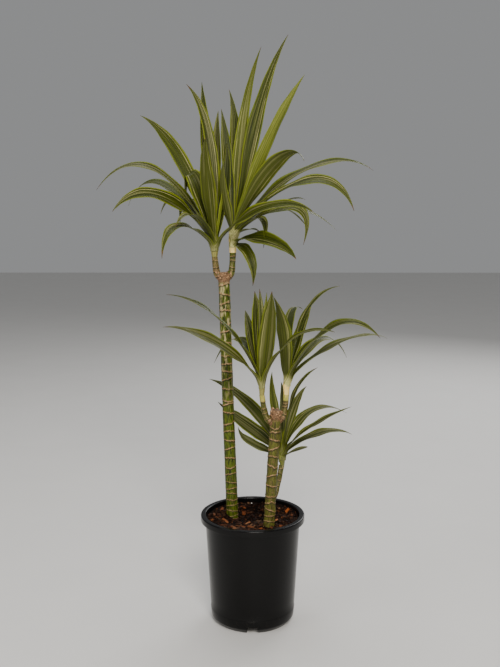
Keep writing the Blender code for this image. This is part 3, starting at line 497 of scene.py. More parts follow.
def leaf_material():
    net = Net("leaf_striped")
    across, run, seed, fresh, dry, old, under, base = net.attributes(*LEAF_KEYS)
    edge = net.calc("ABSOLUTE", across)
    offset = net.times(seed, 23)

    def lengthwise(across_scale, run_scale, detail):
        shifted = net.plus(net.times(across, across_scale), offset)
        return net.noise(net.vector(shifted, net.times(run, run_scale), offset), 1, detail)

    broad = lengthwise(3.6, 3, 1)
    streak = lengthwise(13, 6, 3)
    hair = lengthwise(50, 10, 2)
    patch = lengthwise(1.2, 24, 2)
    centre = net.grade(streak, 0.38, 0.62, (0.012, 0.017, 0.001), (0.066, 0.08, 0.003))
    centre = net.mix(net.ease(hair, 0.55, 0.72, 0, 0.35), centre, (0.12, 0.135, 0.01))
    centre = net.mix(net.times(old, 0.8), centre, (0.014, 0.02, 0.004))
    wobble = net.times(net.minus(patch, 0.5), 0.16)
    band = net.plus(edge, wobble)
    fade = net.minus(1, net.times(old, 0.6))
    stripe = net.times(net.ease(broad, 0.52, 0.6), net.ease(band, 0.58, 0.7, 0.8, 0))
    stripe = net.times(stripe, net.ease(streak, 0.34, 0.6, 0.4, 1))
    pale = net.grade(hair, 0.35, 0.65, (0.12, 0.12, 0.035), (0.27, 0.255, 0.11))
    colour = net.mix(net.times(stripe, fade), centre, pale)
    way = net.calc("SIGN", net.minus(seed, 0.5))
    place = net.plus(net.minus(net.times(across, way), 0.62), wobble)
    line = net.ease(net.calc("ABSOLUTE", place), 0.02, 0.07, 0.75, 0)
    line = net.times(line, net.ease(patch, 0.36, 0.56, 0.25, 1))
    colour = net.mix(net.times(line, fade), colour, (0.42, 0.4, 0.15))
    rim = net.grade(streak, 0.38, 0.6, (0.085, 0.112, 0.005), (0.19, 0.215, 0.008))
    colour = net.mix(net.ease(band, 0.76, 0.88, 0, 0.95), colour, rim)
    bright = net.grade(streak, 0.38, 0.6, (0.14, 0.18, 0.009), (0.34, 0.38, 0.035))
    colour = net.mix(net.times(fresh, 0.85), colour, bright)
    colour = net.mix(net.times(under, 0.3), colour, (0.11, 0.125, 0.025))
    white = net.grade(streak, 0.4, 0.58, (0.26, 0.29, 0.06), (0.76, 0.68, 0.33))
    colour = net.mix(base, colour, white)
    dead = net.grade(streak, 0.3, 0.7, (0.04, 0.022, 0.008), (0.16, 0.1, 0.03))
    ragged = net.plus(dry, net.times(net.minus(streak, 0.5), 0.5))
    colour = net.grade(ragged, 0.42, 0.58, colour, dead)
    rough = net.ease(patch, 0.3, 0.7, 0.4, 0.54)
    height = net.plus(net.times(hair, 0.5), net.plus(streak, broad))
    return net.finish(colour, rough, height, depth=0.00045, gloss=0.14)


def floor_material():
    net = Net("floor_pale")
    grain = net.noise(net.place(), 6, 3)
    colour = net.mix(grain, (0.66, 0.65, 0.63), (0.7, 0.69, 0.67))
    return net.finish(colour, 0.7)


def add_object(name, data):
    item = bpy.data.objects.new(name, data)
    bpy.context.scene.collection.objects.link(item)
    return item


def add_values(mesh, values):
    for key, numbers in values.items():
        layer = mesh.attributes.new(key, "FLOAT", "POINT")
        layer.data.foreach_set("value", np.asarray(numbers, dtype=np.float32))


def shade(mesh, smooth):
    mesh.polygons.foreach_set("use_smooth", [smooth] * len(mesh.polygons))


def mesh_object(name, vertices, faces, material, smooth=True, values=None):
    """Mesh object at the frame's origin, with one float attribute for each entry of values."""
    mesh = bpy.data.meshes.new(name)
    mesh.from_pydata([tuple(v) for v in vertices], [], [tuple(f) for f in faces])
    add_values(mesh, values or {})
    shade(mesh, smooth)
    mesh.materials.append(material)
    mesh.update()
    return add_object(name, mesh)


def grid_faces(rows, columns, wrap, start=0):
    """Quads of a grid of vertices. wrap joins the last column to the first."""
    faces = []
    for i in range(rows - 1):
        for j in range(columns if wrap else columns - 1):
            k = (j + 1) % columns
            a = start + i * columns
            b = a + columns
            faces.append((a + j, a + k, b + k, b + j))
    return faces


def boolean(item, others, operation):
    group = bpy.data.collections.new("boolean_group")
    bpy.context.scene.collection.children.link(group)
    for other in others:
        for holder in list(other.users_collection):
            holder.objects.unlink(other)
        group.objects.link(other)
    step = item.modifiers.new("boolean_step", "BOOLEAN")
    step.operation = operation
    step.operand_type = "COLLECTION"
    step.collection = group
    step.solver = "EXACT"
    bake_modifiers(item)
    for other in others:
        bpy.data.objects.remove(other, do_unlink=True)
    bpy.data.collections.remove(group)


def bake_modifiers(item):
    graph = bpy.context.evaluated_depsgraph_get()
    mesh = bpy.data.meshes.new_from_object(item.evaluated_get(graph))
    item.modifiers.clear()
    old = item.data
    item.data = mesh
    bpy.data.meshes.remove(old)


def face_outward(item):
    body = bmesh.new()
    body.from_mesh(item.data)
    bmesh.ops.recalc_face_normals(body, faces=body.faces)
    body.to_mesh(item.data)
    body.free()


def heading(angle):
    """Level unit vector at an angle from +X."""
    return Vector((cos(angle), sin(angle), 0))


def in_metres(path):
    return [Vector(p) * CM for p in path]


def path_length(points):
    return sum((b - a).length for a, b in zip(points, points[1:]))


def wall_radius(height):
    """Outer radius of the tapered wall of the pot at a height."""
    part = (height - FOOT_HEIGHT) / (POT_HEIGHT - FOOT_HEIGHT)
    return BODY_FOOT_RADIUS + (BODY_TOP_RADIUS - BODY_FOOT_RADIUS) * part


def arc(centre_radius, centre_height, radius, start, stop, steps):
    points = []
    for i in range(steps + 1):
        angle = radians(start + (stop - start) * i / steps)
        points.append((centre_radius + radius * cos(angle), centre_height + radius * sin(angle)))
    return points


def plain_box(name, corners, material):
    item = mesh_object(name, [AXIS + c for c in corners], BOX_FACES, material, smooth=False)
    face_outward(item)
    return item


def build_pot(material):
    """Turned shell with a rolled lip, a hanging skirt, a ledge, a stepped foot and notches."""
    inner_top = wall_radius(POT_HEIGHT) - WALL
    skirt_inner = RIM_RADIUS - SKIRT_WALL
    skirt_foot = POT_HEIGHT - SKIRT_HEIGHT
    under_lip = POT_HEIGHT - WALL
    plate_top = PLATE_HEIGHT + WALL
    body_foot = FOOT_HEIGHT + 2 * FOOT_STEP
    profile = [
        (BODY_FOOT_RADIUS - FOOT_WIDTH, PLATE_HEIGHT),
        (BODY_FOOT_RADIUS - FOOT_STEP - FOOT_WIDTH, FOOT_HEIGHT),
        (FOOT_RADIUS - FOOT_WIDTH, 0),
        (FOOT_RADIUS - FOOT_EDGE, 0),
        (FOOT_RADIUS, FOOT_EDGE_RISE),
        (BODY_FOOT_RADIUS - FOOT_STEP, FOOT_HEIGHT - FOOT_STEP),
        (BODY_FOOT_RADIUS - 0.3 * FOOT_STEP, FOOT_HEIGHT),
        (wall_radius(body_foot), body_foot),
        (wall_radius(LEDGE_HEIGHT) + LEDGE_DEPTH, LEDGE_HEIGHT - LEDGE_EDGE),
        (wall_radius(LEDGE_HEIGHT) + LEDGE_DEPTH * 0.8, LEDGE_HEIGHT),
        (wall_radius(LEDGE_HEIGHT), LEDGE_HEIGHT + LEDGE_RUN),
    ]
    for i in range(1, OUTER_ROWS):
        height = LEDGE_HEIGHT + LEDGE_RUN + (under_lip - LEDGE_HEIGHT - LEDGE_RUN) * i / OUTER_ROWS
        profile.append((wall_radius(height), height))
    profile += [(wall_radius(under_lip), under_lip), (skirt_inner, under_lip), (skirt_inner, skirt_foot)]
    profile += arc(RIM_RADIUS - SKIRT_ROUND, skirt_foot + SKIRT_ROUND, SKIRT_ROUND, -90, 0, 5)
    profile += arc(RIM_RADIUS - LIP_ROUND, POT_HEIGHT - LIP_ROUND, LIP_ROUND, 0, 90, 8)
    profile += arc(inner_top + LIP_ROUND, POT_HEIGHT - LIP_ROUND, LIP_ROUND, 90, 180, 8)
    for i in range(1, INNER_ROWS + 1):
        height = POT_HEIGHT - LIP_ROUND + (plate_top - POT_HEIGHT + LIP_ROUND) * i / INNER_ROWS
        profile.append((wall_radius(height) - WALL, height))
    count = len(profile)
    vertices = []
    for i in range(POT_SIDES):
        out = heading(tau * i / POT_SIDES)
        for radius, height in profile:
            vertices.append(AXIS + out * radius + UP * height)
    faces = []
    for i in range(POT_SIDES):
        a = i * count
        b = ((i + 1) % POT_SIDES) * count
        for j in range(count - 1):
            faces.append((a + j, b + j, b + j + 1, a + j + 1))
    faces.append(tuple(i * count for i in range(POT_SIDES)))
    faces.append(tuple(i * count + count - 1 for i in range(POT_SIDES)))
    pot = mesh_object("pot_shell", vertices, faces, material)
    face_outward(pot)
    cutters = []
    walls = []
    for i in range(NOTCH_COUNT):
        angle = -pi / 2 + tau * i / NOTCH_COUNT
        out = heading(angle)
        side = Vector((-sin(angle), cos(angle), 0))
        section = ((-NOTCH_FOOT_WIDTH / 2, -SINK), (NOTCH_FOOT_WIDTH / 2, -SINK),
                   (NOTCH_TOP_WIDTH / 2, NOTCH_HEIGHT), (-NOTCH_TOP_WIDTH / 2, NOTCH_HEIGHT))
        corners = []
        for reach in (DRAIN_CIRCLE + SINK, BODY_FOOT_RADIUS + FOOT_HEIGHT):
            for across, height in section:
                corners.append(out * reach + side * across + UP * height)
        cutters.append(plain_box("notch_cutter", corners, material))
        for way in (-1, 1):
            corners = []
            for reach in (CHANNEL_INNER_RADIUS, FOOT_RADIUS - SINK):
                for across, level in ((0, 0), (CHANNEL_WALL, 0), (CHANNEL_WALL, 1), (0, 1)):
                    edge = (NOTCH_FOOT_WIDTH if level == 0 else NOTCH_TOP_WIDTH) / 2
                    rise = UP * (PLATE_HEIGHT + WALL / 2) * level
                    corners.append(out * reach + side * way * (edge + across - GAP) + rise)
            walls.append(plain_box("channel_wall", corners, material))
        cutters.append(drain_cutter(out * DRAIN_CIRCLE, material))
    cutters.append(drain_cutter(Vector(), material))
    boolean(pot, walls, "UNION")
    boolean(pot, cutters, "DIFFERENCE")
    shade(pot.data, True)
    pot.data.set_sharp_from_angle(angle=radians(SHARP_ANGLE))
    return pot


def drain_cutter(centre, material):
    vertices = []
    for height in (PLATE_HEIGHT - SINK, PLATE_HEIGHT + WALL + SINK):
        for i in range(DRAIN_SIDES):
            angle = tau * (i + 0.5) / DRAIN_SIDES
            vertices.append(AXIS + centre + heading(angle) * DRAIN_RADIUS + UP * height)
    faces = [tuple(range(DRAIN_SIDES)), tuple(range(DRAIN_SIDES, 2 * DRAIN_SIDES))]
    faces += grid_faces(2, DRAIN_SIDES, True)
    item = mesh_object("drain_cutter", vertices, faces, material, smooth=False)
    face_outward(item)
    return item


def mix_height(x, y):
    """Height of the surface of the potting mix at a place from the pot axis, as in the part."""
    inner = wall_radius(MIX_TOP) - WALL
    bowl = MIX_BOWL * (1 - (x * x + y * y) / (inner * inner))
    away = hypot(x - HOLLOW_PLACE[0], y - HOLLOW_PLACE[1]) / HOLLOW_RADIUS
    waves = sin(61 * x + 17 * y + 0.6) * sin(53 * y - 23 * x + 1.1)
    small = 0.4 * sin(160 * x + 2) * sin(140 * y + 0.5)
    return MIX_TOP - bowl - HOLLOW_DEPTH * exp(-away * away) + MIX_RELIEF * (waves + small)


def soil_height(x, y):
    crumbly = noise.noise(Vector((x * 130, y * 130, 3))) * 1.3 * MM
    fine = noise.noise(Vector((x * 420, y * 420, 7))) * 0.9 * MM
    return mix_height(x, y) + crumbly + fine - 0.4 * MM


def build_soil(material):
    low = PLATE_HEIGHT + WALL + GAP
    outer = wall_radius(MIX_TOP) - WALL - 2 * GAP
    floor_radius = wall_radius(low) - WALL - 2 * GAP
    vertices = [AXIS + UP * soil_height(0, 0)]
    for ring in range(1, SOIL_RINGS + 1):
        for i in range(SOIL_SIDES):
            angle = tau * i / SOIL_SIDES
            x = outer * ring / SOIL_RINGS * cos(angle)
            y = outer * ring / SOIL_RINGS * sin(angle)
            vertices.append(AXIS + Vector((x, y, soil_height(x, y))))
    for i in range(SOIL_SIDES):
        vertices.append(AXIS + heading(tau * i / SOIL_SIDES) * floor_radius + UP * low)
    faces = [(0, 1 + i, 1 + (i + 1) % SOIL_SIDES) for i in range(SOIL_SIDES)]
    faces += grid_faces(SOIL_RINGS + 1, SOIL_SIDES, True, 1)
    last = 1 + SOIL_RINGS * SOIL_SIDES
    faces.append(tuple(last + i for i in range(SOIL_SIDES)))
    item = mesh_object("soil", vertices, faces, material)
    face_outward(item)
    return item


def ball(splits):
    """Unit ball of a few faces, as vertices and faces."""
    body = bmesh.new()
    bmesh.ops.create_icosphere(body, subdivisions=splits, radius=1)
    vertices = [v.co.copy() for v in body.verts]
    faces = [tuple(v.index for v in f.verts) for f in body.faces]
    body.free()
    return vertices, faces


def build_chips(material):
    """Chips of bark that lie in the surface, the large ones first, then many by chance."""
    draw = random.Random(CHIP_SEED).random
    outer = wall_radius(MIX_TOP) - WALL
    feet = [Vector(cane[0][1]) * CM for cane in CANES.values()]
    rows = [(x * CM, y * CM, radians(turn), length * MM, width * MM, LARGE_CHIP_THICK, warm, pale,
             LARGE_CHIP_LIFT)
            for x, y, turn, length, width, warm, pale in LARGE_CHIPS]
    while len(rows) < CHIP_COUNT:
        distance = (outer - 6 * MM) * sqrt(draw())
        angle = tau * draw()
        x = distance * cos(angle)
        y = distance * sin(angle)
        if any(hypot(x - p.x, y - p.y) < CANE_CLEARANCE for p in feet):
            continue
        in_shaded_hollow = hypot(x - HOLLOW_PLACE[0], y - HOLLOW_PLACE[1]) < 0.6 * HOLLOW_RADIUS
        length = (4 + 11 * draw() ** 2) * MM
        width = length * (0.30 + 0.40 * draw())
        # Chips in the hollow keep no pale bark: painted shade of the hollow
        pale = 0 if in_shaded_hollow else 0.01 + 0.36 * draw() ** 5
        rows.append((x, y, tau * draw(), length, width,
                     (1.2 + 1.8 * draw()) * MM, draw(), pale, draw() * 0.8 * MM))
    vertices = []
    faces = []
    pales = []
    warms = []
    unit, unit_faces = ball(2)
    for x, y, turn, length, width, thick, warm, pale, lift in rows:
        tilt = 0.5 * (draw() - 0.5)
        lean = 0.7 * (draw() - 0.5)
        along = Vector((cos(turn), sin(turn), tilt)).normalized()
        across = UP.cross(along).normalized()
        normal = (along.cross(across) + across * lean).normalized()
        across = normal.cross(along).normalized()
        centre = AXIS + Vector((x, y, soil_height(x, y) + lift + 0.4 * abs(tilt) * length * 0.5))
        start = len(vertices)
        for v in unit:
            p = [copysign(abs(c) ** 0.55, c) for c in v]
            rough = 0.82 + 0.32 * draw()
            vertices.append(centre + along * p[0] * length * 0.5 * rough
                            + across * p[1] * width * 0.5 * rough + normal * p[2] * thick * 0.5 * rough)
            pales.append(pale)
            warms.append(warm)
        faces += [tuple(start + i for i in f) for f in unit_faces]
    return mesh_object("soil_bark_chips", vertices, faces, material, smooth=False,
                       values={"pale": pales, "warm": warms})


def build_crumbs(name, material, count, seed, smallest, spread, pale_most, first=None):
    """Loose crumbs on the surface. first is the distance and the turn of the first one."""
    draw = random.Random(seed).random
    outer = wall_radius(MIX_TOP) - WALL - 2 * MM
    vertices = []
    faces = []
    pales = []
    warms = []
    unit, unit_faces = ball(1)
    for i in range(count):
        distance = outer * sqrt(draw())
        angle = tau * draw()
        if first and i == 0:
            distance, angle = first
        x = distance * cos(angle)
        y = distance * sin(angle)
        size = smallest + spread * draw() ** 2
        start = len(vertices)
        pale = pale_most * draw() ** 2
        warm = draw()
        centre = AXIS + Vector((x, y, soil_height(x, y) + size * 0.3))
        for v in unit:
            rough = 0.7 + 0.6 * draw()
            vertices.append(centre + v * size * rough)
            pales.append(pale)
            warms.append(warm)
        faces += [tuple(start + k for k in f) for f in unit_faces]
    return mesh_object(name, vertices, faces, material, smooth=False, values={"pale": pales, "warm": warms})


def through_points(points, part):
    """Place on a smooth curve through the points. part goes from 0 to 1."""
    spans = len(points) - 1
    place = min(max(part, 0), 1) * spans
    index = min(int(place), spans - 1)
    u = place - index
    p1 = points[index]
    p2 = points[index + 1]
    p0 = points[index - 1] if index > 0 else p1 * 2 - p2
    p3 = points[index + 2] if index + 2 <= spans else p2 * 2 - p1
    return 0.5 * ((2 * p1) + (p2 - p0) * u + (2 * p0 - 5 * p1 + 4 * p2 - p3) * u * u
                  + (3 * p1 - p0 - 3 * p2 + p3) * u * u * u)


def scar_lines(draw, start, stop, spacing, tilt):
    """Leaf scars as place, turn, depth of the chevron and its shape."""
    lines = []
    place = start
    turn = tau * draw()
    while place < stop:
        lines.append((place, turn, tilt * (0.35 + 0.9 * draw()), 0.8 + draw()))
        place += spacing * (0.70 + 0.60 * draw())
        turn += radians(SCAR_TURN)
    return lines


def distance_to_scars(places, sides, lines, seed):
    """Signed distance from each ring and side to the nearest scar line."""
    angles = np.arange(sides) * tau / sides
    ripple = np.array([noise.noise(Vector((cos(a) * 2.2, sin(a) * 2.2, seed))) for a in angles])
    best = np.full((len(places), sides), 1.0)
    for number, (place, turn, tilt, shape) in enumerate(lines):
        away = np.abs((angles - turn + pi) % tau - pi) / pi
        shifted = np.roll(ripple, number * 17)
        line = place + tilt * (0.5 - away ** shape) + SCAR_WANDER * shifted
        gap = places[:, None] - line[None, :]
        best = np.where(np.abs(gap) < np.abs(best), gap, best)
    return best


def bark_tube(name, points, radius_at, sides, step, lines, seed, material, ridge, lumps, **shares):
    """Closed tube with scars and lumps, and what its material needs at each vertex.

    The shares of brown, of silver bark with painted sheen, and of cream are functions of the place along
    the tube.
    """
    length = path_length(points)
    rows = max(6, int(length / step))
    places = np.linspace(0, length, rows)
    gaps = distance_to_scars(places, sides, lines, seed)
    scars = np.exp(-(gaps / SCAR_WIDTH) ** 2)
    grooves = np.exp(-((gaps + GROOVE_SHIFT) / GROOVE_WIDTH) ** 2)
    relief = ridge * scars - 0.5 * ridge * grooves
    centres = [AXIS + through_points(points, s / length) for s in places]
    vertices = []
    values = {key: [] for key in BARK_KEYS}
    for i in range(rows):
        before = centres[max(i - 1, 0)]
        after = centres[min(i + 1, rows - 1)]
        along = (after - before).normalized()
        side = along.cross(Vector((0, 1, 0))).normalized()
        other = along.cross(side).normalized()
        radius = radius_at(places[i])
        here = {key: share(places[i]) for key, share in shares.items()}
        brown = here.get("brown", 0)
        cream = here.get("cream", 0)
        for j in range(sides):
            angle = tau * j / sides
            x = cos(angle)
            y = sin(angle)
            lump = noise.noise(Vector((x * 1.1, y * 1.1, places[i] * 60 + seed))) * lumps
            crack = noise.noise(Vector((x * 7, y * 7, places[i] * 160 + seed))) * lumps * 0.35
            rough = noise.noise(Vector((x * 3, y * 3, places[i] * 260 + seed))) * brown * 0.9 * MM
            full = radius + relief[i, j] + lump + crack + rough
            vertices.append(centres[i] + (side * x + other * y) * full)
            scar = scars[i, j] * (1 - 0.7 * cream) * min(1, ridge / FULL_RIDGE)
            # Painted shade in the groove under each scar, less on cream bark
            groove_shade = grooves[i, j] * (1 - cream)
            row = (places[i], x, y, scar, groove_shade, brown, here.get("silver", 0), cream)
            for key, value in zip(BARK_KEYS, row):
                values[key].append(value)
    faces = grid_faces(rows, sides, True)
    faces.append(tuple(range(sides)))
    faces.append(tuple(range((rows - 1) * sides, rows * sides)))
    item = mesh_object(name, vertices, faces, material, values=values)
    face_outward(item)
    return item


def step_up(value, low, high):
    """Smooth step from 0 at low to 1 at high."""
    part = min(max((value - low) / (high - low), 0), 1)
    return part * part * (3 - 2 * part)


def build_cane(tag, cane, material):
    path, radius, seed, silver_from, brown, ridge, lumps = cane
    points = in_metres(path)
    length = path_length(points)
    collar_foot = length - COLLAR_HEIGHT
    lines = scar_lines(random.Random(seed).random, FIRST_SCAR, collar_foot, SCAR_SPACING, SCAR_TILT)

    def radius_at(place):
        collar = step_up(place, collar_foot, length - COLLAR_HEIGHT * 0.6)
        end = step_up(place, length - 0.006, length)
        return radius * (1 - CANE_TAPER * place / length) + COLLAR_BULGE * collar - 2.6 * MM * end * end

    def brown_at(place):
        return brown + (MOST_BROWN - brown) * step_up(place, collar_foot - 0.004, collar_foot + 0.003)

    def silver_at(place):
        return step_up(place, silver_from - 0.06, silver_from + 0.08)

    return bark_tube("cane_" + tag + "_bark", points, radius_at, CANE_SIDES, CANE_STEP, lines, seed,
                     material, ridge, lumps, brown=brown_at, silver=silver_at)


def build_stem(name, stem, seed, material):
    path, foot_radius, end_radius, brown, cream = stem
    points = in_metres(path)
    length = path_length(points)
    lines = scar_lines(random.Random(seed).random, start=0.014, stop=length - 0.004, spacing=0.0105,
                       tilt=0.0040)

    def radius_at(place):
        part = place / length
        swell = STEM_SWELL * max(0, 1 - abs(part - 0.24) * 5)
        return foot_radius + (end_radius - foot_radius) * part + swell

    def brown_at(place):
        return brown + (MOST_BROWN - brown) * (1 - step_up(place, 0.008, 0.022))

    def cream_at(place):
        return cream * step_up(place, length - 0.012, length - 0.009)

    return bark_tube(name, points, radius_at, STEM_SIDES, STEM_STEP, lines, seed, material, STEM_RIDGE,
                     STEM_LUMPS, brown=brown_at, silver=lambda place: STEM_SILVER_AND_SHEEN, cream=cream_at)


def build_callus(name, top, radius, seed, stems, material):
    """Knobbly callus around the cut top of a cane and the feet of its stems."""
    draw = random.Random(seed).random
    middle = Vector(top) * CM
    vertices = []
    faces = []
    unit, unit_faces = ball(3)
    lumps = []
    for i in range(CALLUS_BALLS):
        angle = tau * draw()
        height = -CALLUS_DEPTH + CALLUS_DEPTH * draw()
        reach = radius * (0.80 + 0.16 * draw())
        size = (2.2 + 1.8 * draw()) * MM
        spot = middle + Vector((cos(angle) * reach, sin(angle) * reach, height))
        lumps.append((spot, size, size, size * (0.7 + 0.5 * draw())))
    for path, foot_radius, *_ in stems:
        points = in_metres(path)
        for i in range(CALLUS_BALLS_AT_STEM):
            spot = through_points(points, 0.22 + 0.20 * draw())
            angle = tau * draw()
            reach = foot_radius * 0.72
            size = (2 + 1.6 * draw()) * MM
            spot = spot + Vector((cos(angle) * reach, sin(angle) * reach, 0))
            lumps.append((spot, size, size, size))
    for spot, x, y, z in lumps:
        start = len(vertices)
        for v in unit:
            vertices.append(AXIS + spot + Vector((v.x * x, v.y * y, v.z * z)))
        faces += [tuple(start + k for k in f) for f in unit_faces]
    item = mesh_object(name, vertices, faces, material)
    step = item.modifiers.new("join", "REMESH")
    step.mode = "VOXEL"
    step.voxel_size = CALLUS_GRAIN
    bake_modifiers(item)
    body = bmesh.new()
    body.from_mesh(item.data)
    for i in range(CALLUS_SMOOTHINGS):
        bmesh.ops.smooth_vert(body, verts=body.verts, factor=0.5,
                              use_axis_x=True, use_axis_y=True, use_axis_z=True)
    body.normal_update()
    for v in body.verts:
        v.co += v.normal * noise.noise(v.co * CALLUS_NOISE) * 0.60 * MM
    body.normal_update()
    crests = []
    for v in body.verts:
        around = sum((e.other_vert(v).co for e in v.link_edges), Vector()) / len(v.link_edges)
        crests.append((v.co - around).dot(v.normal))
    for i in range(CREST_SMOOTHINGS):
        crests = [0.4 * crests[v.index] + 0.6 * sum(crests[e.other_vert(v).index] for e in v.link_edges)
                  / len(v.link_edges) for v in body.verts]
    body.to_mesh(item.data)
    body.free()
    mesh = item.data
    count = len(mesh.vertices)
    coords = np.zeros(count * 3)
    mesh.vertices.foreach_get("co", coords)
    coords = coords.reshape(-1, 3)
    crests = np.array(crests) / CREST_HEIGHT
    nothing = np.zeros(count)
    # Concave crevices get painted shade, convex knobs the tan of the scars
    parts = {"run": coords[:, 2], "round_x": coords[:, 0] * 90, "round_y": coords[:, 1] * 90,
             "scar": np.clip(crests - 0.8, 0, 0.8), "groove_shade": np.clip(-1.6 * crests, 0, 1.25),
             "brown": np.full(count, CALLUS_BROWN), "silver": nothing, "cream": nothing}
    add_values(mesh, parts)
    shade(mesh, True)
    return item


def width_at(part):
    """Share of the greatest width at a part of the blade's length."""
    for (a, wa), (b, wb) in zip(WIDTH_CURVE, WIDTH_CURVE[1:]):
        if part <= b:
            share = (part - a) / (b - a)
            share = 0.5 * share + 0.5 * share * share * (3 - 2 * share)
            return wa + (wb - wa) * share
    return WIDTH_CURVE[-1][1]


def leaf_path(foot, start, middle, tip):
    """Cubic path that leaves the foot along start, and passes the middle and the tip."""
    speed = (middle - foot).length * 1.5
    to_middle = middle - foot - start * speed * 0.5
    to_tip = tip - foot - start * speed
    third = (to_tip - to_middle * 4) * 2
    second = to_tip - third

    def at(t):
        return foot + start * speed * t + second * t * t + third * t * t * t

    return at


def leaf_frame(at, t, side_start, turn_middle, turn_tip):
    """Place on the path, direction across the blade and direction of its upper face."""
    step = 0.004
    along = (at(min(t + step, 1)) - at(max(t - step, 0))).normalized()
    side = (side_start - along * side_start.dot(along)).normalized()
    upper = along.cross(side).normalized()
    if t < 0.5:
        ease = t / 0.5
        turn = turn_middle * ease * ease * (3 - 2 * ease)
    else:
        turn = turn_middle + (turn_tip - turn_middle) * (t - 0.5) / 0.5
    way = 1 if side.dot(FRONT) >= 0 else -1
    angle = radians(turn) * way
    new_upper = upper * cos(angle) + side * sin(angle)
    new_side = side * cos(angle) - upper * sin(angle)
    return at(t), new_side, new_upper


def shoot_radius(radius, heights, height):
    """Radius of the shoot in the middle of a head at a height."""
    for i in range(len(heights) - 1):
        if height <= heights[i + 1]:
            share = (height - heights[i]) / (heights[i + 1] - heights[i])
            share = min(max(share, 0), 1)
            return radius * (SHOOT_SWELLS[i] + (SHOOT_SWELLS[i + 1] - SHOOT_SWELLS[i]) * share)
    return radius * SHOOT_SWELLS[-1]


def build_leaves(name, crown, low, high, heights, radius, rows, odd, cream, material):
    draw = random.Random(sum(ord(c) for c in name)).random
    vertices = []
    faces = []
    values = {key: [] for key in LEAF_KEYS}
    columns = LEAF_STRIPS + 1
    marks = [-d for d in SHEATH_STEPS]
    marks += [(i / (LEAF_STATIONS - 1)) ** 1.15 for i in range(LEAF_STATIONS)]
    stations = len(marks)
    for number, (*places, width, turn_middle, turn_tip, wave) in enumerate(rows):
        near = Vector(places[:3])
        tip = crown + Vector(places[3:]) * CM
        rise = max(near.z, 0) / near.length
        out = Vector((near.x, near.y, 0)).normalized()
        foot_height = low + (high - low) * rise
        foot = Vector((crown.x, crown.y, foot_height)) - out * radius * 0.1
        start = (UP * (0.35 + 0.65 * rise) + out * (0.75 - 0.45 * rise)).normalized()
        at = leaf_path(foot, start, crown + near * CM, tip)
        far_out = tip - foot
        side_start = UP.cross(Vector((far_out.x, far_out.y, 0))).normalized()
        sheath_side = UP.cross(out).normalized()
        clasp = shoot_radius(radius, heights, foot_height) * (1.06 - 0.20 * rise)
        clasp += CLASP_STEP * (number % 6)
        phase = 1.7 * number
        seed = draw()
        fresh, dry, old = odd.get(number, (0, 0.05 * draw(), 0.25 * draw()))
        begin = len(vertices)
        total = 0
        last = None
        layers = ([], [])
        for mark in marks:
            t = max(mark, 0)
            spot, side, upper = leaf_frame(at, t, side_start, turn_middle, turn_tip)
            wrap = 1 - step_up(t, 0, CLASP_END)
            if mark < 0:
                spot = foot + UP * mark
                side = sheath_side
                upper = -out
            elif wrap > 0:
                side = (side * (1 - wrap) + sheath_side * wrap).normalized()
                upper = (upper - side * upper.dot(side)).normalized()
            spot = spot + out * (clasp + radius * 0.1) * wrap
            uneven = 1 + EDGE_CHANGE * sin(EDGE_CHANGES_ALONG * t + phase)
            half = 0.5 * width * CM * width_at(t) * uneven
            wide = half + (max(half, clasp * SHEATH_REACH) - half) * (1 - step_up(t, -0.001, 0.07))
            fold = radians(FOLD_AT_FOOT + (FOLD_AT_TIP - FOLD_AT_FOOT) * min(1, t / 0.7))
            swing = WAVE_SHARE * wave * MM * sin(pi * t) * width_at(t)
            left_wave = swing * sin(WAVES_ALONG * t + phase)
            right_wave = swing * sin(WAVES_ALONG * t + phase + WAVE_SHIFT)
            thick = LEAF_THICK * (1 + 1.4 * (1 - min(1, t / 0.35)))
            if last is not None:
                total += (spot - last).length
            last = spot
            for j in range(columns):
                u = 2 * j / LEAF_STRIPS - 1
                flat_x = half * cos(fold) * u
                flat_h = half * sin(fold) * (abs(u) ** 1.5 - 0.5)
                flat_h += (left_wave if u < 0 else right_wave) * u * u
                turn = u * wide / clasp
                round_x = clasp * sin(turn)
                round_h = clasp * (1 - cos(turn))
                x = flat_x + (round_x - flat_x) * wrap
                h = flat_h + (round_h - flat_h) * wrap
                point = spot + side * x + upper * h
                rib = LEAF_RIB * exp(-(u / 0.14) ** 2) * (1 - step_up(t, 0.1, 0.8))
                skin = thick * (1 - 0.55 * u ** 4) * (1 - 0.5 * step_up(t, 0.85, 1)) + rib
                layers[0].append(point)
                layers[1].append(point - upper * skin)
                values["across"].append(u)
            here = {"run": total, "seed": seed, "fresh": fresh, "old": old, "under": 0,
                    "dry": step_up(t, 1 - dry * 1.6, 1 - dry * 0.4) if dry > 0 else 0,
                    "base": (0.15 + 0.85 * cream) * (1 - step_up(t, 0, 0.08 + 0.07 * seed))}
            for key, value in here.items():
                values[key] += [value] * columns
        count = len(layers[0])
        for key in LEAF_KEYS:
            values[key] += values[key][-count:] if key != "under" else [1] * count
        vertices += layers[0] + layers[1]
        upper_faces = grid_faces(stations, columns, False, begin)
        lower_faces = [tuple(reversed(f)) for f in grid_faces(stations, columns, False, begin + count)]
        faces += upper_faces + lower_faces
        for i in range(stations - 1):
            a = begin + i * columns
            b = a + columns
            faces.append((a, b, b + count, a + count))
            a += columns - 1
            b += columns - 1
            faces.append((a, a + count, b + count, b))
        for j in range(columns - 1):
            a = begin + j
            faces.append((a, a + count, a + 1 + count, a + 1))
            a = begin + (stations - 1) * columns + j
            faces.append((a, a + 1, a + 1 + count, a + count))
    item = mesh_object(name + "_leaves", vertices, faces, material, values=values)
    face_outward(item)
    return item


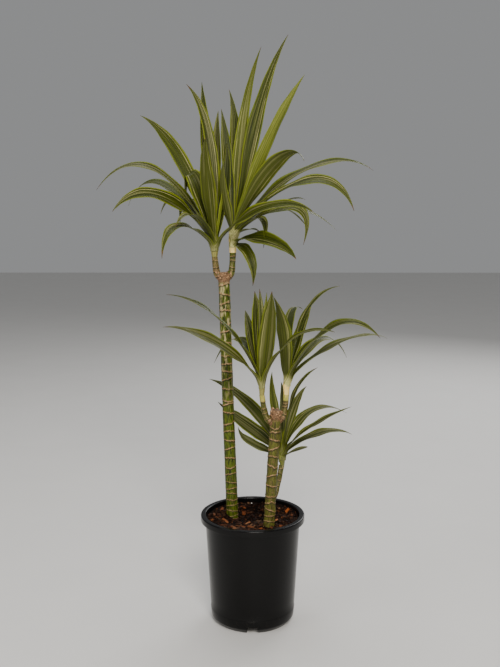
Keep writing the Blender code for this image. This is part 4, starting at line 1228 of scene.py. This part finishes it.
def build_neck(name, crown, heights, radius, cream, seed, material):
    """Short shoot under the leaves, in overlapping leaf bases."""
    length = heights[-1] - heights[0]
    points = [Vector((crown.x, crown.y, heights[0] + length * i / 3)) - AXIS for i in range(4)]
    lines = scar_lines(random.Random(seed).random, start=0.006, stop=length, spacing=0.0075, tilt=0.0040)

    def radius_at(place):
        return shoot_radius(radius, heights, heights[0] + place) * 0.96

    def cream_at(place):
        return cream * (1 - 0.5 * step_up(place, 0.018, 0.030))

    return bark_tube(name + "_neck", points, radius_at, STEM_SIDES, STEM_STEP, lines, seed, material,
                     NECK_RELIEF, NECK_RELIEF, cream=cream_at)


def keep(item, slot_name, *nodes):
    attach(item, "root")
    if nodes:
        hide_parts(*nodes)


def build_plant():
    bark = cane_material()
    cream_skin = neck_material()
    leaf = leaf_material()
    for tag, cane in CANES.items():
        keep(build_cane(tag, cane, bark), "cane_bark", "cane_" + tag)
    for seed, (tag, stem) in enumerate(STEMS.items(), STEM_SEED):
        keep(build_stem("stem_" + tag, stem, seed, bark), "cane_bark")
    for seed, (tag, cane) in enumerate(CANES.items(), CALLUS_SEED):
        stems = (STEMS[tag + "_left"], STEMS[tag + "_right"])
        callus = build_callus("callus_" + tag, cane[0][-1], cane[1] * CALLUS_SHARE, seed, stems, bark)
        keep(callus, "cane_bark")
    for seed, (name, centre, neck, span, radius, rows, odd, cream) in enumerate(HEADS, NECK_SEED):
        crown = AXIS + Vector(centre) * CM
        low = crown.z + span[0] * CM
        high = crown.z + span[1] * CM
        foot = crown.z - neck * CM
        heights = (foot, foot + 0.4 * (low - foot), low, (low + high) / 2, high, high + CROWN_TOP)
        keep(build_leaves(name, crown, low, high, heights, radius, rows, odd, cream, leaf), "leaf", name)
        keep(build_neck(name, crown, heights, radius, cream, seed, cream_skin), "leaf", name)


def add_light(name, place, target, size, power, colour):
    data = bpy.data.lights.new(name, "AREA")
    data.shape = "RECTANGLE"
    data.size = size[0]
    data.size_y = size[1]
    data.energy = power
    data.color = colour
    item = add_object(name, data)
    item.location = place
    item.rotation_euler = (Vector(target) - Vector(place)).to_track_quat("-Z", "Y").to_euler()


def build_stage():
    corners = [(x * FLOOR_REACH, y * FLOOR_REACH, 0) for x, y in ((-1, -1), (1, -1), (1, 1), (-1, 1))]
    floor = mesh_object("floor", corners, [(0, 1, 2, 3)], floor_material())
    world = bpy.data.worlds.new("pale_studio")
    bpy.context.scene.world = world
    world.use_nodes = True
    inputs = world.node_tree.nodes["Background"].inputs
    inputs["Color"].default_value = WORLD_COLOUR
    inputs["Strength"].default_value = WORLD_STRENGTH
    for light in LIGHTS:
        add_light(*light)


def place_camera():
    data = bpy.data.cameras.new("camera")
    data.sensor_width = SENSOR_WIDTH
    data.sensor_fit = "AUTO"
    data.lens = FOCAL_PIXELS * SENSOR_WIDTH / IMAGE_HEIGHT
    item = add_object("camera", data)
    item.location = AXIS + Vector(CAMERA_PLACE)
    item.rotation_euler = (radians(90 - CAMERA_DOWN), 0, radians(CAMERA_TURN))
    bpy.context.scene.camera = item


def main():
    chips = chip_material()
    keep(build_pot(pot_material()), "pot_plastic", "pot")
    keep(build_soil(soil_material()), "potting_mix", "potting_mix")
    keep(build_chips(chips), "potting_mix")
    keep(build_crumbs("soil_crumbs", chips, *CRUMBS), "potting_mix")
    first = (PERLITE_DISTANCE, radians(PERLITE_TURN))
    keep(build_crumbs("soil_perlite", perlite_material(), *PERLITE, first), "potting_mix")
    build_plant()
    build_stage()
    place_camera()


main()
